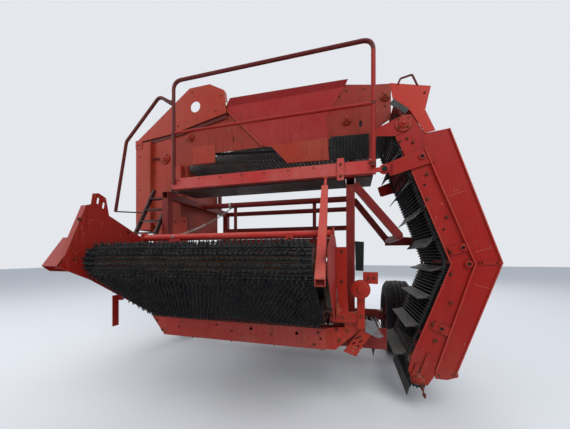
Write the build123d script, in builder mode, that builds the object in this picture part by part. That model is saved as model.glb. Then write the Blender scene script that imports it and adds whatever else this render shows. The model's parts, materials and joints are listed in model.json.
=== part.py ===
"""Trailed onion harvester: rod webs, rear finger web, C-shaped side elevator, sorting table and platform.

Millimetres. +X is to the right seen from behind, +Y is the direction of travel, +Z is up. The origin lies on the
ground, below the middle of the machine's overall length and width.
"""
from build123d import *
import os
from math import asin, atan2, ceil, cos, degrees, hypot, pi, radians, sin

os.makedirs("parts", exist_ok=True)

# Sheet and running gap
PLATE = 6
GUARD = 3
RUN = 0.3
WALL = 5

# Bed and frame
WEB_WIDTH = 1480
WEB_MID = -176
CHEEK_GAP = 36
RAIL_WIDTH = 100
RAIL_HEIGHT = 120
RAIL_Z = 760
RAIL_FRONT = 1420
HEADSTOCK = 100
POST = 70
CROSS_TUBE_R = 32

# Wheels
TYRE_R = 444.5
TYRE_WIDTH = 300
WHEEL_SIDES = 32
RIM_R = 205
RIM_WALL = 10
RIM_HALF = 105
DISH = 45
HUB_R = 90
STUB_R = 35
AXLE_Y = -605
TRACK_HALF = 1465
AXLE_BAR = 110

# Main rod web, in the Y-Z plane
WEB_FRONT = (1400, 200)
WEB_REAR = (-2000, 1075)
WEB_ROLLER = 70
CHEEK_SEAM = -1882
SHAFT_R = 20
CHORD = pi / 6

# Rods and belts
BELT = 8
BELT_WIDTH = 60
ROD = 11
ROD_PITCH = 100

# Finger web, in the Y-Z plane
FINGER_TOP = (-2728, 1164)
FINGER_LOW = (-2239, 816)
FINGER_ROLLER = 88
FINGER_LENGTH = 34
FINGER_WIDTH = 18
FINGER_PITCH = 48
FINGER_COLUMNS = 2
TUBE_PLACE = (-2298, 1352)
TUBE_R = 26

# Strut from the platform to the rear end of the right cheek
STRUT = 52
STRUT_FOOT = (608, -2850, 1072)
STRUT_HEAD = (540, -1990, 1752)

# Rear beam and cross web
BEAM_Y = -2104
BEAM_DEPTH = 60
BEAM_LOW, BEAM_HIGH = 484, 632
BEAM_LEFT, BEAM_LOW_LEFT, BEAM_RIGHT = -1045, -922, 560
CROSS_LEFT, CROSS_RIGHT = -880, 955
CROSS_Z = 548
CROSS_ROLLER = 40
CROSS_Y = -2028
CROSS_WIDTH = 670
CROSS_FLIGHT = 60

# Elevator, in the X-Z plane: outer edge, seam and inner edge from head to foot
ELEV_REAR = -1910
ELEV_INSIDE = 704
ELEV_OUTER = [(1462, 2159), (1795, 1150), (1500, 300)]
ELEV_SEAM = [(1309, 2042), (1642, 1142), (1388, 330)]
ELEV_INNER = [(1199, 1860), (1469, 1136), (1196, 408)]
ELEV_FOOT = (1252, 256)
ELEV_HEAD = (1139, 2233)
ELEV_FOOT_ROLLER = 70
ELEV_HEAD_ROLLER = 85
ELEV_BEND_IN = (1285, 1141)
ELEV_BEND_OUT = (1482, 1142)
ELEV_BEND_R = 150
ELEV_GUIDE = (1229, 396)
ELEV_GUIDE_R = 60
ELEV_TIES = [(1300, 560), (1540, 1142), (1330, 1600), (1230, 1990)]
ELEV_TIE_R = 20
ELEV_HANGER = (1000, 1886)
ELEV_RIM = 45
ELEV_ROD_PITCH = 80
FLIGHT_LENGTH = 95
FLIGHT_DROOP = 30
FLIGHT_THICK = 8
FLIGHT_EVERY = 3

# Platform, table and tower
FLOOR_Z = 1963
FLOOR_REAR = -1946
FLOOR_FRONT = -1575
FLOOR_LEFT, FLOOR_RIGHT = -970, 938
EDGE_DEPTH = 50
EDGE_HEIGHT = 104
SLAT = 30
RAIL_TOP = 2905
RAIL_MID = 2400
HANDRAIL_R = 20
MID_RAIL_R = 13
GRAB_R = 14
LADDER_LEFT, LADDER_RIGHT = -1400, -1150
TABLE_REAR = -1546
TABLE_INSIDE = 740
TABLE_LEFT = (-1380, 2350)
TABLE_RIGHT = (850, 2215)
TABLE_ROLLER = 50
TABLE_LEG_LEFT, TABLE_LEG_RIGHT = -1093, 741
TOWER_REAR = -1568
POST_LEFT = -1795
TOWER_HOLE = (-960, 2888)
TOWER_HOLE_R = 62

# Drawbar, jack and gearbox
BAR = 100
TONGUE = (2560, 720)
EYE_Y = 2889
EYE_Z = 560
EYE_R, EYE_BORE, EYE_THICK = 60, 25, 40
NECK_R = 30
JACK_X, JACK_Y = -26, 2500
JACK_R = 38
JACK_LEG_R = 31.7
INPUT_R = 17.45
INPUT_LENGTH = 100

# Intake on its pivots, in the Y-Z plane
PIVOT = (1480, 700)
PIN = 20
PIN_GAP = 0.05
ARM_WIDTH = 50
ARM_END = (2060, 440)
LUG = 10
COULTER = (1790, 240)
COULTER_R = 225
ROLLER = (2190, 175)
ROLLER_R = 155
GUDGEON_R = 25
HORN = (1500, 985)
HORN_PLATE = 14
RAM_REAR = (960, 965)
RAM_R, RAM_ROD_R = 30, 16
RAM_EYE, RAM_EYE_HALF = 30, 10
RAM_PIN = 15
RAM_PLAY = 1.5
RAM_LENGTH = 400


def layer(axis, at):
    """The plane square to an axis: its own x and y run along the other two axes, in X, Y, Z order."""
    return {"X": Plane.YZ.offset(at), "Y": Plane.XZ.offset(-at), "Z": Plane.XY.offset(at)}[axis]


def grow(profile, axis, amount, mode=Mode.ADD):
    """Extrude a sketch from its layer towards the positive axis."""
    extrude(profile.sketch, amount=-amount if axis == "Y" else amount, mode=mode)


def sheet(axis, at, thickness, outline, holes=(), slots=()):
    """A flat plate. Holes are (x, y, radius), slots are (x, y, length, width, angle)."""
    with BuildSketch(layer(axis, at)) as face:
        with BuildLine():
            Polyline(*outline, close=True)
        make_face()
        for x, y, radius in holes:
            with Locations((x, y)):
                RegularPolygon(radius, flats(radius), mode=Mode.SUBTRACT)
        for x, y, length, width, angle in slots:
            with Locations(Location((x, y, 0), (0, 0, angle))):
                Rectangle(length - width, width, mode=Mode.SUBTRACT)
                with Locations(((width - length) / 2, 0), ((length - width) / 2, 0)):
                    RegularPolygon(width / 2, 8, major_radius=False, mode=Mode.SUBTRACT)
    grow(face, axis, thickness)


def flats(radius):
    """How many flats stand for a plain round, more for a larger one."""
    return 8 if radius < 20 else 12 if radius < 60 else 24


def prism(axis, at, thickness, x, y, radius, sides=0, angle=0):
    """A boss, bar or drum with flats; thickness is signed."""
    with BuildSketch(layer(axis, at)) as face:
        with Locations((x, y)):
            RegularPolygon(radius, sides or flats(radius), rotation=angle)
    grow(face, axis, thickness)


def disc(axis, at, thickness, x, y, radius, bore=0, mode=Mode.ADD):
    """A true round, for whatever turns, slides or is a mount; thickness is signed."""
    with BuildSketch(layer(axis, at)) as face:
        with Locations((x, y)):
            Circle(radius)
            if bore:
                Circle(bore, mode=Mode.SUBTRACT)
    grow(face, axis, thickness, mode)


def block(low, high):
    """A rectangular block between two corners."""
    with BuildSketch(layer("Z", low[2])) as face:
        with Locations(((low[0] + high[0]) / 2, (low[1] + high[1]) / 2)):
            Rectangle(high[0] - low[0], high[1] - low[1])
    grow(face, "Z", high[2] - low[2])


def beam(start, end, width, height, wall=WALL):
    """A straight box section between two points, its height towards +Z, open at both ends."""
    run = Vector(*end) - Vector(*start)
    side = Vector(0, 0, 1).cross(run)
    if side.length < 0.01 * run.length:
        side = Vector(1, 0, 0)
    with BuildSketch(Plane(origin=start, x_dir=side, z_dir=run)) as section:
        Rectangle(width, height)
        if wall:
            Rectangle(width - 2 * wall, height - 2 * wall, mode=Mode.SUBTRACT)
    extrude(section.sketch, amount=run.length)


def tube(points, radius, bend=0):
    """A tube along straight runs, with bends of one radius."""
    with BuildLine() as route:
        if len(points) > 2:
            FilletPolyline(*points, radius=bend)
        else:
            Line(*points)
    run = Vector(*points[1]) - Vector(*points[0])
    with BuildSketch(Plane(origin=points[0], z_dir=run)) as section:
        RegularPolygon(radius, 8)
    sweep(section.sketch, path=route.wires()[0])


def pipe(start, end, radius, bore=0):
    """A straight many-sided bar or pipe between two points."""
    run = Vector(*end) - Vector(*start)
    with BuildSketch(Plane(origin=start, x_dir=(1, 0, 0), z_dir=run)) as section:
        RegularPolygon(radius, 12)
        if bore:
            RegularPolygon(bore, 12, mode=Mode.SUBTRACT)
    extrude(section.sketch, amount=run.length)


class Loop:
    """A belt's closed line round its rollers, in the plane of their ends.

    Each roller is (x, y, radius). The line runs clockwise; a negative radius is a guide outside the line.
    """

    def __init__(self, *rollers):
        self.rollers = rollers

    def heading(self, n):
        """The direction of the straight run that leaves roller n."""
        n %= len(self.rollers)
        x1, y1, r1 = self.rollers[n]
        x2, y2, r2 = self.rollers[(n + 1) % len(self.rollers)]
        return atan2(y2 - y1, x2 - x1) + asin((r2 - r1) / hypot(x2 - x1, y2 - y1))

    def point(self, n, heading, out):
        """The point beside roller n where the line has that heading."""
        x, y, radius = self.rollers[n]
        return (x - (radius + out) * sin(heading), y + (radius + out) * cos(heading))

    def turns(self):
        """For each roller: its number, the heading that arrives and the turn made round it."""
        for n in range(len(self.rollers)):
            arrive = self.heading(n - 1)
            leave = self.heading(n)
            sign = -1 if self.rollers[n][2] > 0 else 1
            yield n, arrive, sign * ((sign * (leave - arrive)) % (2 * pi))

    def draw(self, out=0):
        """The line for a line builder, bent round each roller in short chords."""
        corners = []
        for n, arrive, turn in self.turns():
            chords = ceil(abs(turn) / CHORD)
            corners += [self.point(n, arrive + turn * k / chords, out) for k in range(chords + 1)]
        Polyline(*corners, close=True)

    def stations(self, pitch, out=0, phase=0.0):
        """Evenly spaced (x, y, heading) along the line, flat on its chords where it bends."""
        pieces = []
        for n, arrive, turn in self.turns():
            radius = abs(self.rollers[n][2] + out)
            pieces.append(("arc", n, arrive, turn, radius * abs(turn)))
            end = self.point(n, arrive + turn, out)
            follower = self.point((n + 1) % len(self.rollers), arrive + turn, out)
            pieces.append(("run", end, follower, arrive + turn, hypot(follower[0] - end[0], follower[1] - end[1])))
        total = sum(piece[-1] for piece in pieces)
        count = round(total / pitch)
        places = []
        for k in range(count):
            travelled = (k + phase) * total / count
            for piece in pieces:
                if travelled <= piece[-1]:
                    break
                travelled -= piece[-1]
            share = travelled / piece[-1]
            if piece[0] == "arc":
                n, arrive, turn = piece[1:4]
                chords = ceil(abs(turn) / CHORD)
                chord = min(int(share * chords), chords - 1)
                x1, y1 = self.point(n, arrive + turn * chord / chords, out)
                x2, y2 = self.point(n, arrive + turn * (chord + 1) / chords, out)
                along = share * chords - chord
                middle = arrive + turn * (chord + 0.5) / chords
                places.append((x1 + along * (x2 - x1), y1 + along * (y2 - y1), middle))
            else:
                x = piece[1][0] + share * (piece[2][0] - piece[1][0])
                y = piece[1][1] + share * (piece[2][1] - piece[1][1])
                places.append((x, y, piece[3]))
        return places


def belts(axis, loop, starts, width, thickness=BELT):
    """Flat belts round a loop, one from each start along the axis."""
    for start in starts:
        with BuildSketch(layer(axis, start)) as strip:
            with BuildLine():
                loop.draw(thickness / 2)
            make_face()
            with BuildLine():
                loop.draw(-thickness / 2)
            make_face(mode=Mode.SUBTRACT)
        grow(strip, axis, width)


def rods(axis, start, length, places, depth, height):
    """Straight rods of one section, one at each place of a loop."""
    spots = [Location((x, y, 0), (0, 0, degrees(heading))) for x, y, heading in places]
    with BuildSketch(layer(axis, start)) as sections:
        with Locations(*spots):
            Rectangle(depth, height)
    grow(sections, axis, length)


def flights(axis, start, length, places, reach, thickness, droop=0):
    """Flat flights that stand on a loop's outer side, leaning back by an angle."""
    spots = []
    for x, y, heading in places:
        lean = heading + pi / 2 + radians(droop)
        spots.append(Location((x + reach / 2 * cos(lean), y + reach / 2 * sin(lean), 0), (0, 0, degrees(lean))))
    with BuildSketch(layer(axis, start)) as sections:
        with Locations(*spots):
            Rectangle(reach, thickness)
    grow(sections, axis, length)


def roller(axis, start, length, x, y, radius, shaft_start, shaft_length, shaft_radius=SHAFT_R):
    """A drum for belts of one loop on its hexagonal shaft."""
    prism(axis, shaft_start, shaft_length, x, y, shaft_radius, 6)
    prism(axis, start, length, x, y, (radius - BELT / 2) * cos(CHORD / 2) - RUN, 12)


def fold(axis, at, depth, outline, wall):
    """Flanges along the runs of an open outline; a negative wall lies to the right of the way along it."""
    for (x, y), (next_x, next_y) in zip(outline, outline[1:]):
        share = wall / hypot(next_x - x, next_y - y)
        across, along = share * (y - next_y), share * (next_x - x)
        sheet(axis, at, depth, [(x, y), (next_x, next_y), (next_x + across, next_y + along), (x + across, y + along)])


def bearing(axis, at, x, y, radius=48, depth=26):
    """A square-flanged bearing housing with its nose, outside a plate; depth is signed."""
    sign = 1 if depth > 0 else -1
    prism(axis, at, sign * 8, x, y, radius * 1.3, 4, 45)
    prism(axis, at + sign * 8, depth - sign * 8, x, y, radius * 0.66, 12)


def write(builder, name):
    """Label a finished piece and write its STEP file."""
    builder.part.label = name
    export_step(builder.part, f"parts/{name}.step")


# Places that several pieces share
WEB_LEFT = WEB_MID - WEB_WIDTH / 2
WEB_RIGHT = WEB_MID + WEB_WIDTH / 2
CHEEK_LEFT = WEB_LEFT - CHEEK_GAP - PLATE
CHEEK_RIGHT = WEB_RIGHT + CHEEK_GAP
RAIL_REAR = BEAM_Y + PLATE
RAIL_LOW = RAIL_Z - RAIL_HEIGHT / 2
RAIL_HIGH = RAIL_Z + RAIL_HEIGHT / 2
RAILS = [CHEEK_LEFT - RAIL_WIDTH / 2, CHEEK_RIGHT + PLATE + RAIL_WIDTH / 2]
POSTS = [RAILS[0] - (RAIL_WIDTH + POST) / 2, RAILS[1] + (RAIL_WIDTH + POST) / 2]
POST_REAR, POST_FRONT = -1860, -608
POST_TOP = FLOOR_Z - EDGE_HEIGHT - POST
HEADSTOCK_Y = RAIL_FRONT - 60
HEADSTOCK_Z = RAIL_HIGH + HEADSTOCK / 2
SHAFT_START = CHEEK_LEFT + PLATE + RUN
FINGER_CHEEK_RIGHT = STRUT_FOOT[0] + STRUT / 2 + 2
ELEV_FRONT = ELEV_REAR + PLATE + ELEV_INSIDE
TABLE_FRONT = TABLE_REAR + PLATE + TABLE_INSIDE
BELT_STARTS = [WEB_LEFT, WEB_MID - BELT_WIDTH / 2, WEB_RIGHT - BELT_WIDTH]
ROD_OUT = BELT / 2 + ROD / 2 + RUN

# Main frame: two side rails, the headstock, lugs for the intake arms and brackets for the lift cylinders
with BuildPart() as main_frame:
    lug_front = PIVOT[0] + 2 * PIN
    lug = [(RAIL_FRONT + 10, 665), (RAIL_FRONT + 10, 755), (lug_front, 740), (lug_front, 665)]
    y, z = RAM_REAR
    bracket = [(y - 70, RAIL_HIGH), (y + 60, RAIL_HIGH), (y + 25, z + 25), (y - 25, z + 25)]
    lug_out = ARM_WIDTH / 2 + 1
    bracket_out = RAM_EYE_HALF + 1
    for x in RAILS:
        beam((x, RAIL_REAR, RAIL_Z), (x, RAIL_FRONT, RAIL_Z), RAIL_WIDTH, RAIL_HEIGHT)
        block((x - RAIL_WIDTH / 2, RAIL_FRONT, RAIL_LOW - 40), (x + RAIL_WIDTH / 2, RAIL_FRONT + 10, RAIL_HIGH))
        for side in (-1, 1):
            sheet("X", x + side * lug_out, side * LUG, lug)
            sheet("X", x + side * bracket_out, side * HORN_PLATE, bracket)
        disc("X", x - lug_out - LUG, 2 * (lug_out + LUG), *PIVOT, PIN)
        disc("X", x - bracket_out - HORN_PLATE, 2 * (bracket_out + HORN_PLATE), *RAM_REAR, RAM_PIN)
    left, right = RAILS[0] - RAIL_WIDTH / 2, RAILS[1] + RAIL_WIDTH / 2
    beam((left, HEADSTOCK_Y, HEADSTOCK_Z), (right, HEADSTOCK_Y, HEADSTOCK_Z), HEADSTOCK, HEADSTOCK)
    block((left, RAIL_REAR, BEAM_HIGH + PLATE), (left + RAIL_WIDTH, BEAM_Y + BEAM_DEPTH, RAIL_LOW))
write(main_frame, "main_frame")

# Upper frame: posts, top rails, cross tubes, the hung deflector plate and the elevator's brace
BRACE_TUBE = (1120, 1360)
BRACE_FRONT = -1150
DEFLECTOR_Y = -1224
with BuildPart() as upper_frame:
    top = POST_TOP + POST / 2
    for x in POSTS:
        for y in (POST_REAR, POST_FRONT):
            beam((x, y, RAIL_LOW), (x, y, POST_TOP), POST, POST)
        beam((x, POST_REAR - POST / 2, top), (x, POST_FRONT + POST / 2, top), POST, POST)
    left, right = POSTS[0] + POST / 2, POSTS[1] - POST / 2
    for y in (DEFLECTOR_Y, POST_FRONT):
        prism("X", left, right - left, y, top, CROSS_TUBE_R)
    beam((left, POST_FRONT, 1574), (right, POST_FRONT, 1574), 60, 60)
    with BuildSketch(layer("Y", DEFLECTOR_Y)) as deflector:
        with Locations((WEB_MID, 1290)):
            Rectangle(WEB_WIDTH - 60, 220)
        with Locations((-19, 1290)):
            Rectangle(388, 120, mode=Mode.SUBTRACT)
    grow(deflector, "Y", PLATE)
    for x in (-640, 340):
        block((x - 20, DEFLECTOR_Y + PLATE, 1340), (x + 20, DEFLECTOR_Y + PLATE + 8, top))
    for y, z in ((POST_REAR, 1800), (BRACE_FRONT, top)):
        beam((POSTS[1] + POST / 2 - 5, y, z), (BRACE_TUBE[0], y, BRACE_TUBE[1]), 50, 60)
    prism("Y", POST_REAR, ELEV_FRONT + PLATE - POST_REAR + 80, *BRACE_TUBE, 30)
    sheet("Y", ELEV_FRONT + PLATE, 8, [(1090, 1310), (1090, 1410), (1400, 1390), (1440, 1350), (1440, 1310)])
write(upper_frame, "upper_frame")

# Axle: one cross beam below the web, hung from the rails, with a stub for each hub
WHEELS = [("left", -1), ("right", 1)]
with BuildPart() as axle:
    half = TRACK_HALF - TYRE_WIDTH / 2 - 20
    beam((WEB_MID - half, AXLE_Y, TYRE_R), (WEB_MID + half, AXLE_Y, TYRE_R), AXLE_BAR, AXLE_BAR, 8)
    for name, side in WHEELS:
        prism("X", WEB_MID + side * half, side * 12, AXLE_Y, TYRE_R, 110, 4, 45)
        disc("X", WEB_MID + side * (half + 12), side * (TRACK_HALF + 62 - half - 12), AXLE_Y, TYRE_R, STUB_R)
    foot = TYRE_R + AXLE_BAR / 2
    hanger = [(AXLE_Y - 150, RAIL_LOW), (AXLE_Y + 150, RAIL_LOW), (AXLE_Y + 55, foot), (AXLE_Y - 55, foot)]
    for x in RAILS:
        sheet("X", x - 5, 10, hanger)
write(axle, "axle")


def ring(x, low, high, radius, mode=Mode.ADD):
    """A many-sided slice of a wheel between two places along the axle, beside the wheel's middle x."""
    with BuildSketch(Plane(origin=(x + low, AXLE_Y, TYRE_R), x_dir=(0, 1, 0), z_dir=(1, 0, 0))) as section:
        RegularPolygon(radius, WHEEL_SIDES, major_radius=False, rotation=180 / WHEEL_SIDES)
    extrude(section.sketch, amount=high - low, mode=mode)


def bevel(builder, x, offset, radius, along, inward):
    """Chamfer the edges of one end of a ring of that radius, at (x + offset)."""
    rim_edges = builder.edges().filter_by_position(Axis.X, x + offset - 0.1, x + offset + 0.1)
    middle = Vector(x + offset, AXLE_Y, TYRE_R)
    chosen = [edge for edge in rim_edges if abs((edge.center() - middle).length - radius) < 2]
    end_face = builder.faces().filter_by(Axis.X).filter_by_position(Axis.X, x + offset - 0.1, x + offset + 0.1)[0]
    chamfer(chosen, inward, along, reference=end_face)


# Wheels: a dished rim on its hub, and a tyre on the rim
TYRE_HALF = TYRE_WIDTH / 2
for name, side in WHEELS:
    x = WEB_MID + side * TRACK_HALF
    with BuildPart() as rim:
        ring(x, -RIM_HALF, RIM_HALF, RIM_R)
        for low in (-RIM_HALF, RIM_HALF - 10):
            ring(x, low, low + 10, RIM_R + 14)
        ring(x, -RIM_HALF, RIM_HALF, RIM_R - RIM_WALL, Mode.SUBTRACT)
        ring(x, side * DISH - 5, side * DISH + 5, RIM_R - RIM_WALL)
        ring(x, *sorted((-side * 50, side * 70)), HUB_R)
        disc("X", x - 100, 200, AXLE_Y, TYRE_R, STUB_R + PIN_GAP, mode=Mode.SUBTRACT)
    write(rim, f"rim_{name}")
    with BuildPart() as tyre:
        ring(x, -TYRE_HALF, TYRE_HALF, TYRE_R)
        for end in (-TYRE_HALF, TYRE_HALF):
            bevel(tyre, x, end, TYRE_R, 50, 24)
            bevel(tyre, x, end, TYRE_R - 24, 20, 60)
        ring(x, -TYRE_HALF, TYRE_HALF, RIM_R + 15, Mode.SUBTRACT)
        ring(x, 12 - RIM_HALF, RIM_HALF - 12, RIM_R + 15)
        ring(x, -TYRE_HALF, TYRE_HALF, RIM_R + RUN, Mode.SUBTRACT)
    write(tyre, f"tyre_{name}")

# Main rod web with its rollers, shafts and side cheeks
main_loop = Loop((*WEB_REAR, WEB_ROLLER), (*WEB_FRONT, WEB_ROLLER))
with BuildPart() as main_web:
    belts("X", main_loop, BELT_STARTS, BELT_WIDTH)
    rods("X", WEB_LEFT, WEB_WIDTH, main_loop.stations(ROD_PITCH, ROD_OUT), ROD, ROD)
write(main_web, "main_web")

strut_share = (FINGER_TOP[0] - STRUT_FOOT[1]) / (STRUT_HEAD[1] - STRUT_FOOT[1])
strut_face = STRUT_FOOT[0] + strut_share * (STRUT_HEAD[0] - STRUT_FOOT[0]) - STRUT / 2 - 2
with BuildPart() as bed_rollers:
    for place, radius, end in (
        (WEB_FRONT, WEB_ROLLER, CHEEK_RIGHT),
        (WEB_REAR, WEB_ROLLER, FINGER_CHEEK_RIGHT),
        (FINGER_TOP, FINGER_ROLLER, strut_face),
        (FINGER_LOW, FINGER_ROLLER, FINGER_CHEEK_RIGHT),
    ):
        roller("X", WEB_LEFT, WEB_WIDTH, *place, radius, SHAFT_START, end - RUN - SHAFT_START)
write(bed_rollers, "bed_rollers")

with BuildPart() as web_cheeks:
    slope = (WEB_REAR[1] - WEB_FRONT[1]) / (WEB_REAR[0] - WEB_FRONT[0])
    rear, front = CHEEK_SEAM + 2, WEB_FRONT[0] + 90
    low_rear = WEB_FRONT[1] + slope * (rear - WEB_FRONT[0])
    low_front = WEB_FRONT[1] + slope * (front - WEB_FRONT[0])
    outline = [(front, low_front - 90), (front, low_front + 110), (rear, low_rear + 150), (rear, low_rear - 120)]
    for x in (CHEEK_LEFT, CHEEK_RIGHT):
        sheet("X", x, PLATE, outline)
    bearing("X", CHEEK_LEFT, *WEB_FRONT, depth=-26)
    bearing("X", CHEEK_RIGHT + PLATE, *WEB_FRONT)
write(web_cheeks, "web_cheeks")

# Finger web: rods with rubber fingers, staggered from rod to rod
finger_loop = Loop((*FINGER_TOP, FINGER_ROLLER), (*FINGER_LOW, FINGER_ROLLER))
with BuildPart() as finger_web:
    belts("X", finger_loop, [BELT_STARTS[0], BELT_STARTS[2]], BELT_WIDTH)
    places = finger_loop.stations(FINGER_PITCH, ROD_OUT)
    rods("X", WEB_LEFT, WEB_WIDTH, places, ROD, ROD)
    step = WEB_WIDTH / FINGER_COLUMNS
    for parity in (0, 1):
        for column in range(FINGER_COLUMNS):
            x = WEB_LEFT + step * (column + 0.25 + 0.5 * parity) - FINGER_WIDTH / 2
            flights("X", x, FINGER_WIDTH, places[parity::2], ROD / 2 + FINGER_LENGTH, ROD)
write(finger_web, "finger_web")

# Left cheek of the finger web with its slotted lug, rear flange, box guard and small leg
LEFT_CHEEK = [
    (-2936, 1127),
    (-2780, 1539),
    (-2744, 1553),
    (-2286, 1337),
    (CHEEK_SEAM - 2, 1180),
    (CHEEK_SEAM - 2, 830),
    (-2200, 730),
    (-2330, 770),
    (-2751, 1038),
]
LUG_OUTLINE = [(-2744, 1540), (-2730, 1628), (-2690, 1640), (-2637, 1618), (-2610, 1480), (-2700, 1450)]
GUARD_OUTLINE = [(-2949, 1139), (-2831, 1322), (-2640, 1322), (-2640, 1080), (-2907, 1105)]
GUARD_DEPTH = 128
with BuildPart() as finger_cheek_left:
    sheet("X", CHEEK_LEFT, PLATE, LEFT_CHEEK)
    sheet("X", CHEEK_LEFT, -PLATE, LUG_OUTLINE, slots=[(-2695, 1585, 46, 16, 80), (-2655, 1560, 46, 16, 80)])
    fold("X", CHEEK_LEFT, -40, LEFT_CHEEK[:2], -PLATE)
    for place in (FINGER_TOP, FINGER_LOW, WEB_REAR):
        bearing("X", CHEEK_LEFT, *place, depth=-26)
    sheet("X", CHEEK_LEFT - GUARD_DEPTH, GUARD, GUARD_OUTLINE)
    fold("X", CHEEK_LEFT - GUARD_DEPTH, GUARD_DEPTH, GUARD_OUTLINE[:3], -GUARD)
    block((CHEEK_LEFT - 46, -2550, 665), (CHEEK_LEFT - 40, -2500, 900))
    block((CHEEK_LEFT - 46, -2510, 860), (CHEEK_LEFT, -2500, 900))
write(finger_cheek_left, "finger_cheek_left")

# Right cheek of the finger web
RIGHT_CHEEK = [
    (-2790, 1110),
    (-2790, 1230),
    (-2560, 1330),
    (-2286, 1337),
    (CHEEK_SEAM - 2, 1180),
    (CHEEK_SEAM - 2, RAIL_HIGH),
    (RAIL_REAR, RAIL_HIGH),
    (-2180, 740),
    (-2310, 750),
]
with BuildPart() as finger_cheek_right:
    sheet("X", FINGER_CHEEK_RIGHT, PLATE, RIGHT_CHEEK)
    for place in (FINGER_LOW, WEB_REAR):
        bearing("X", FINGER_CHEEK_RIGHT + PLATE, *place)
write(finger_cheek_right, "finger_cheek_right")

# Strut from the platform's underside to the rear end of the right cheek, and the cross tube below it
with BuildPart() as strut_right:
    beam(STRUT_FOOT, STRUT_HEAD, STRUT, STRUT)
    x, y, z = STRUT_HEAD
    tube([(x, y, z - 15), (x, FLOOR_REAR + 16, FLOOR_Z - EDGE_HEIGHT - 12)], 12)
    block((x - 20, FLOOR_REAR, FLOOR_Z - EDGE_HEIGHT - 8), (x + 20, FLOOR_REAR + 36, FLOOR_Z - EDGE_HEIGHT))
write(strut_right, "strut_right")

with BuildPart() as rear_cross_tube:
    start = CHEEK_LEFT + PLATE
    prism("X", start, FINGER_CHEEK_RIGHT - start, *TUBE_PLACE, TUBE_R)
    prism("X", start, 8, *TUBE_PLACE, 2 * TUBE_R, 4, 45)
    prism("X", FINGER_CHEEK_RIGHT, -8, *TUBE_PLACE, 2 * TUBE_R, 4, 45)
    y, z = TUBE_PLACE
    block((-676, y - TUBE_R - 6, 1257), (-580, y - TUBE_R + 2, 1345))
    block((300, y - TUBE_R - 6, z - 60), (356, y - TUBE_R + 2, z + 10))
write(rear_cross_tube, "rear_cross_tube")

# Lower rear beam: a folded channel with holes, open towards the front
BEAM_HOLES = [(-380, 606, 9), (-60, 596, 14), (330, 588, 14), (-130, 520, 7), (520, 560, 9), (-760, 560, 8)]
with BuildPart() as rear_beam:
    outline = [(BEAM_LEFT, BEAM_HIGH), (BEAM_RIGHT, BEAM_HIGH), (BEAM_RIGHT, BEAM_LOW), (BEAM_LOW_LEFT, BEAM_LOW)]
    sheet("Y", BEAM_Y, PLATE, outline, BEAM_HOLES)
    block((BEAM_LEFT, BEAM_Y, BEAM_HIGH), (BEAM_RIGHT, BEAM_Y + BEAM_DEPTH, BEAM_HIGH + PLATE))
    block((BEAM_LOW_LEFT, BEAM_Y, BEAM_LOW - PLATE), (BEAM_RIGHT, BEAM_Y + BEAM_DEPTH, BEAM_LOW))
write(rear_beam, "rear_beam")

# Right rear corner: bar, gusset, slotted plate, post, bent plate, bracket and the round end cap
CAP = (814, 960)
with BuildPart() as corner_right:
    sheet("Y", BEAM_Y, PLATE, [(BEAM_RIGHT, 646), (846, 683), (629, 485), (BEAM_RIGHT, 485)])
    slots = []
    for row in (0, 1):
        slots += [(760 + 28 * k - 22 * row, 610 - 40 * row - 22 * k, 34, 12, 35) for k in range(4)]
    sheet("Y", BEAM_Y, PLATE, [(843, 690), (887, 618), (782, 450), (690, 480)], slots=slots)
    block((594, BEAM_Y - 30, 705), (789, RAIL_REAR, 784))
    block((789, BEAM_Y - 30, 670), (845, RAIL_REAR, 940))
    block((700, BEAM_Y - 6, 640), (789, RAIL_REAR, 705))
    sheet("Y", BEAM_Y - 36, PLATE, [(642, 985), (642, 1267), (718, 1267), (718, 985), (732, 740), (668, 740)])
    block((712, BEAM_Y - 30, 785), (718, BEAM_Y, 1267))
    block((831, BEAM_Y - 46, 1000), (933, BEAM_Y - 30, 1084))
    prism("Y", BEAM_Y - 76, 46, *CAP, 67)
    prism("Y", BEAM_Y - 84, 8, *CAP, 24)
write(corner_right, "corner_right")

# Cross web with its flights, its rollers and the plates that carry them
cross_loop = Loop((CROSS_LEFT, CROSS_Z, CROSS_ROLLER), (CROSS_RIGHT, CROSS_Z, CROSS_ROLLER))
with BuildPart() as cross_web:
    belts("Y", cross_loop, [CROSS_Y, CROSS_Y + CROSS_WIDTH - BELT_WIDTH], BELT_WIDTH)
    places = cross_loop.stations(ROD_PITCH, ROD_OUT)
    rods("Y", CROSS_Y, CROSS_WIDTH, places, ROD, ROD)
    flights("Y", CROSS_Y + 5, CROSS_WIDTH - 10, places[2::4], CROSS_FLIGHT, FLIGHT_THICK)
write(cross_web, "cross_web")

with BuildPart() as cross_rollers:
    for x in (CROSS_LEFT, CROSS_RIGHT):
        roller("Y", CROSS_Y, CROSS_WIDTH, x, CROSS_Z, CROSS_ROLLER + 1.2, CROSS_Y - 10, CROSS_WIDTH + 20, 15)
write(cross_rollers, "cross_rollers")

with BuildPart() as cross_frame:
    low, high = CROSS_Z - 48, CROSS_Z + 112
    left, right = RAILS[0] - RAIL_WIDTH / 2, RAILS[1] + RAIL_WIDTH / 2
    outline = [
        (left, high - 60),
        (left, RAIL_LOW),
        (left + RAIL_WIDTH, RAIL_LOW),
        (left + RAIL_WIDTH, high),
        (right - RAIL_WIDTH, high),
        (right - RAIL_WIDTH, RAIL_LOW),
        (right, RAIL_LOW),
        (right, high),
        (CROSS_RIGHT + 50, high),
        (CROSS_RIGHT + 50, low),
        (CROSS_LEFT - 60, low),
    ]
    for y in (CROSS_Y - 10 - PLATE, CROSS_Y + CROSS_WIDTH + 10):
        sheet("Y", y, PLATE, outline)
write(cross_frame, "cross_frame")

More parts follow.
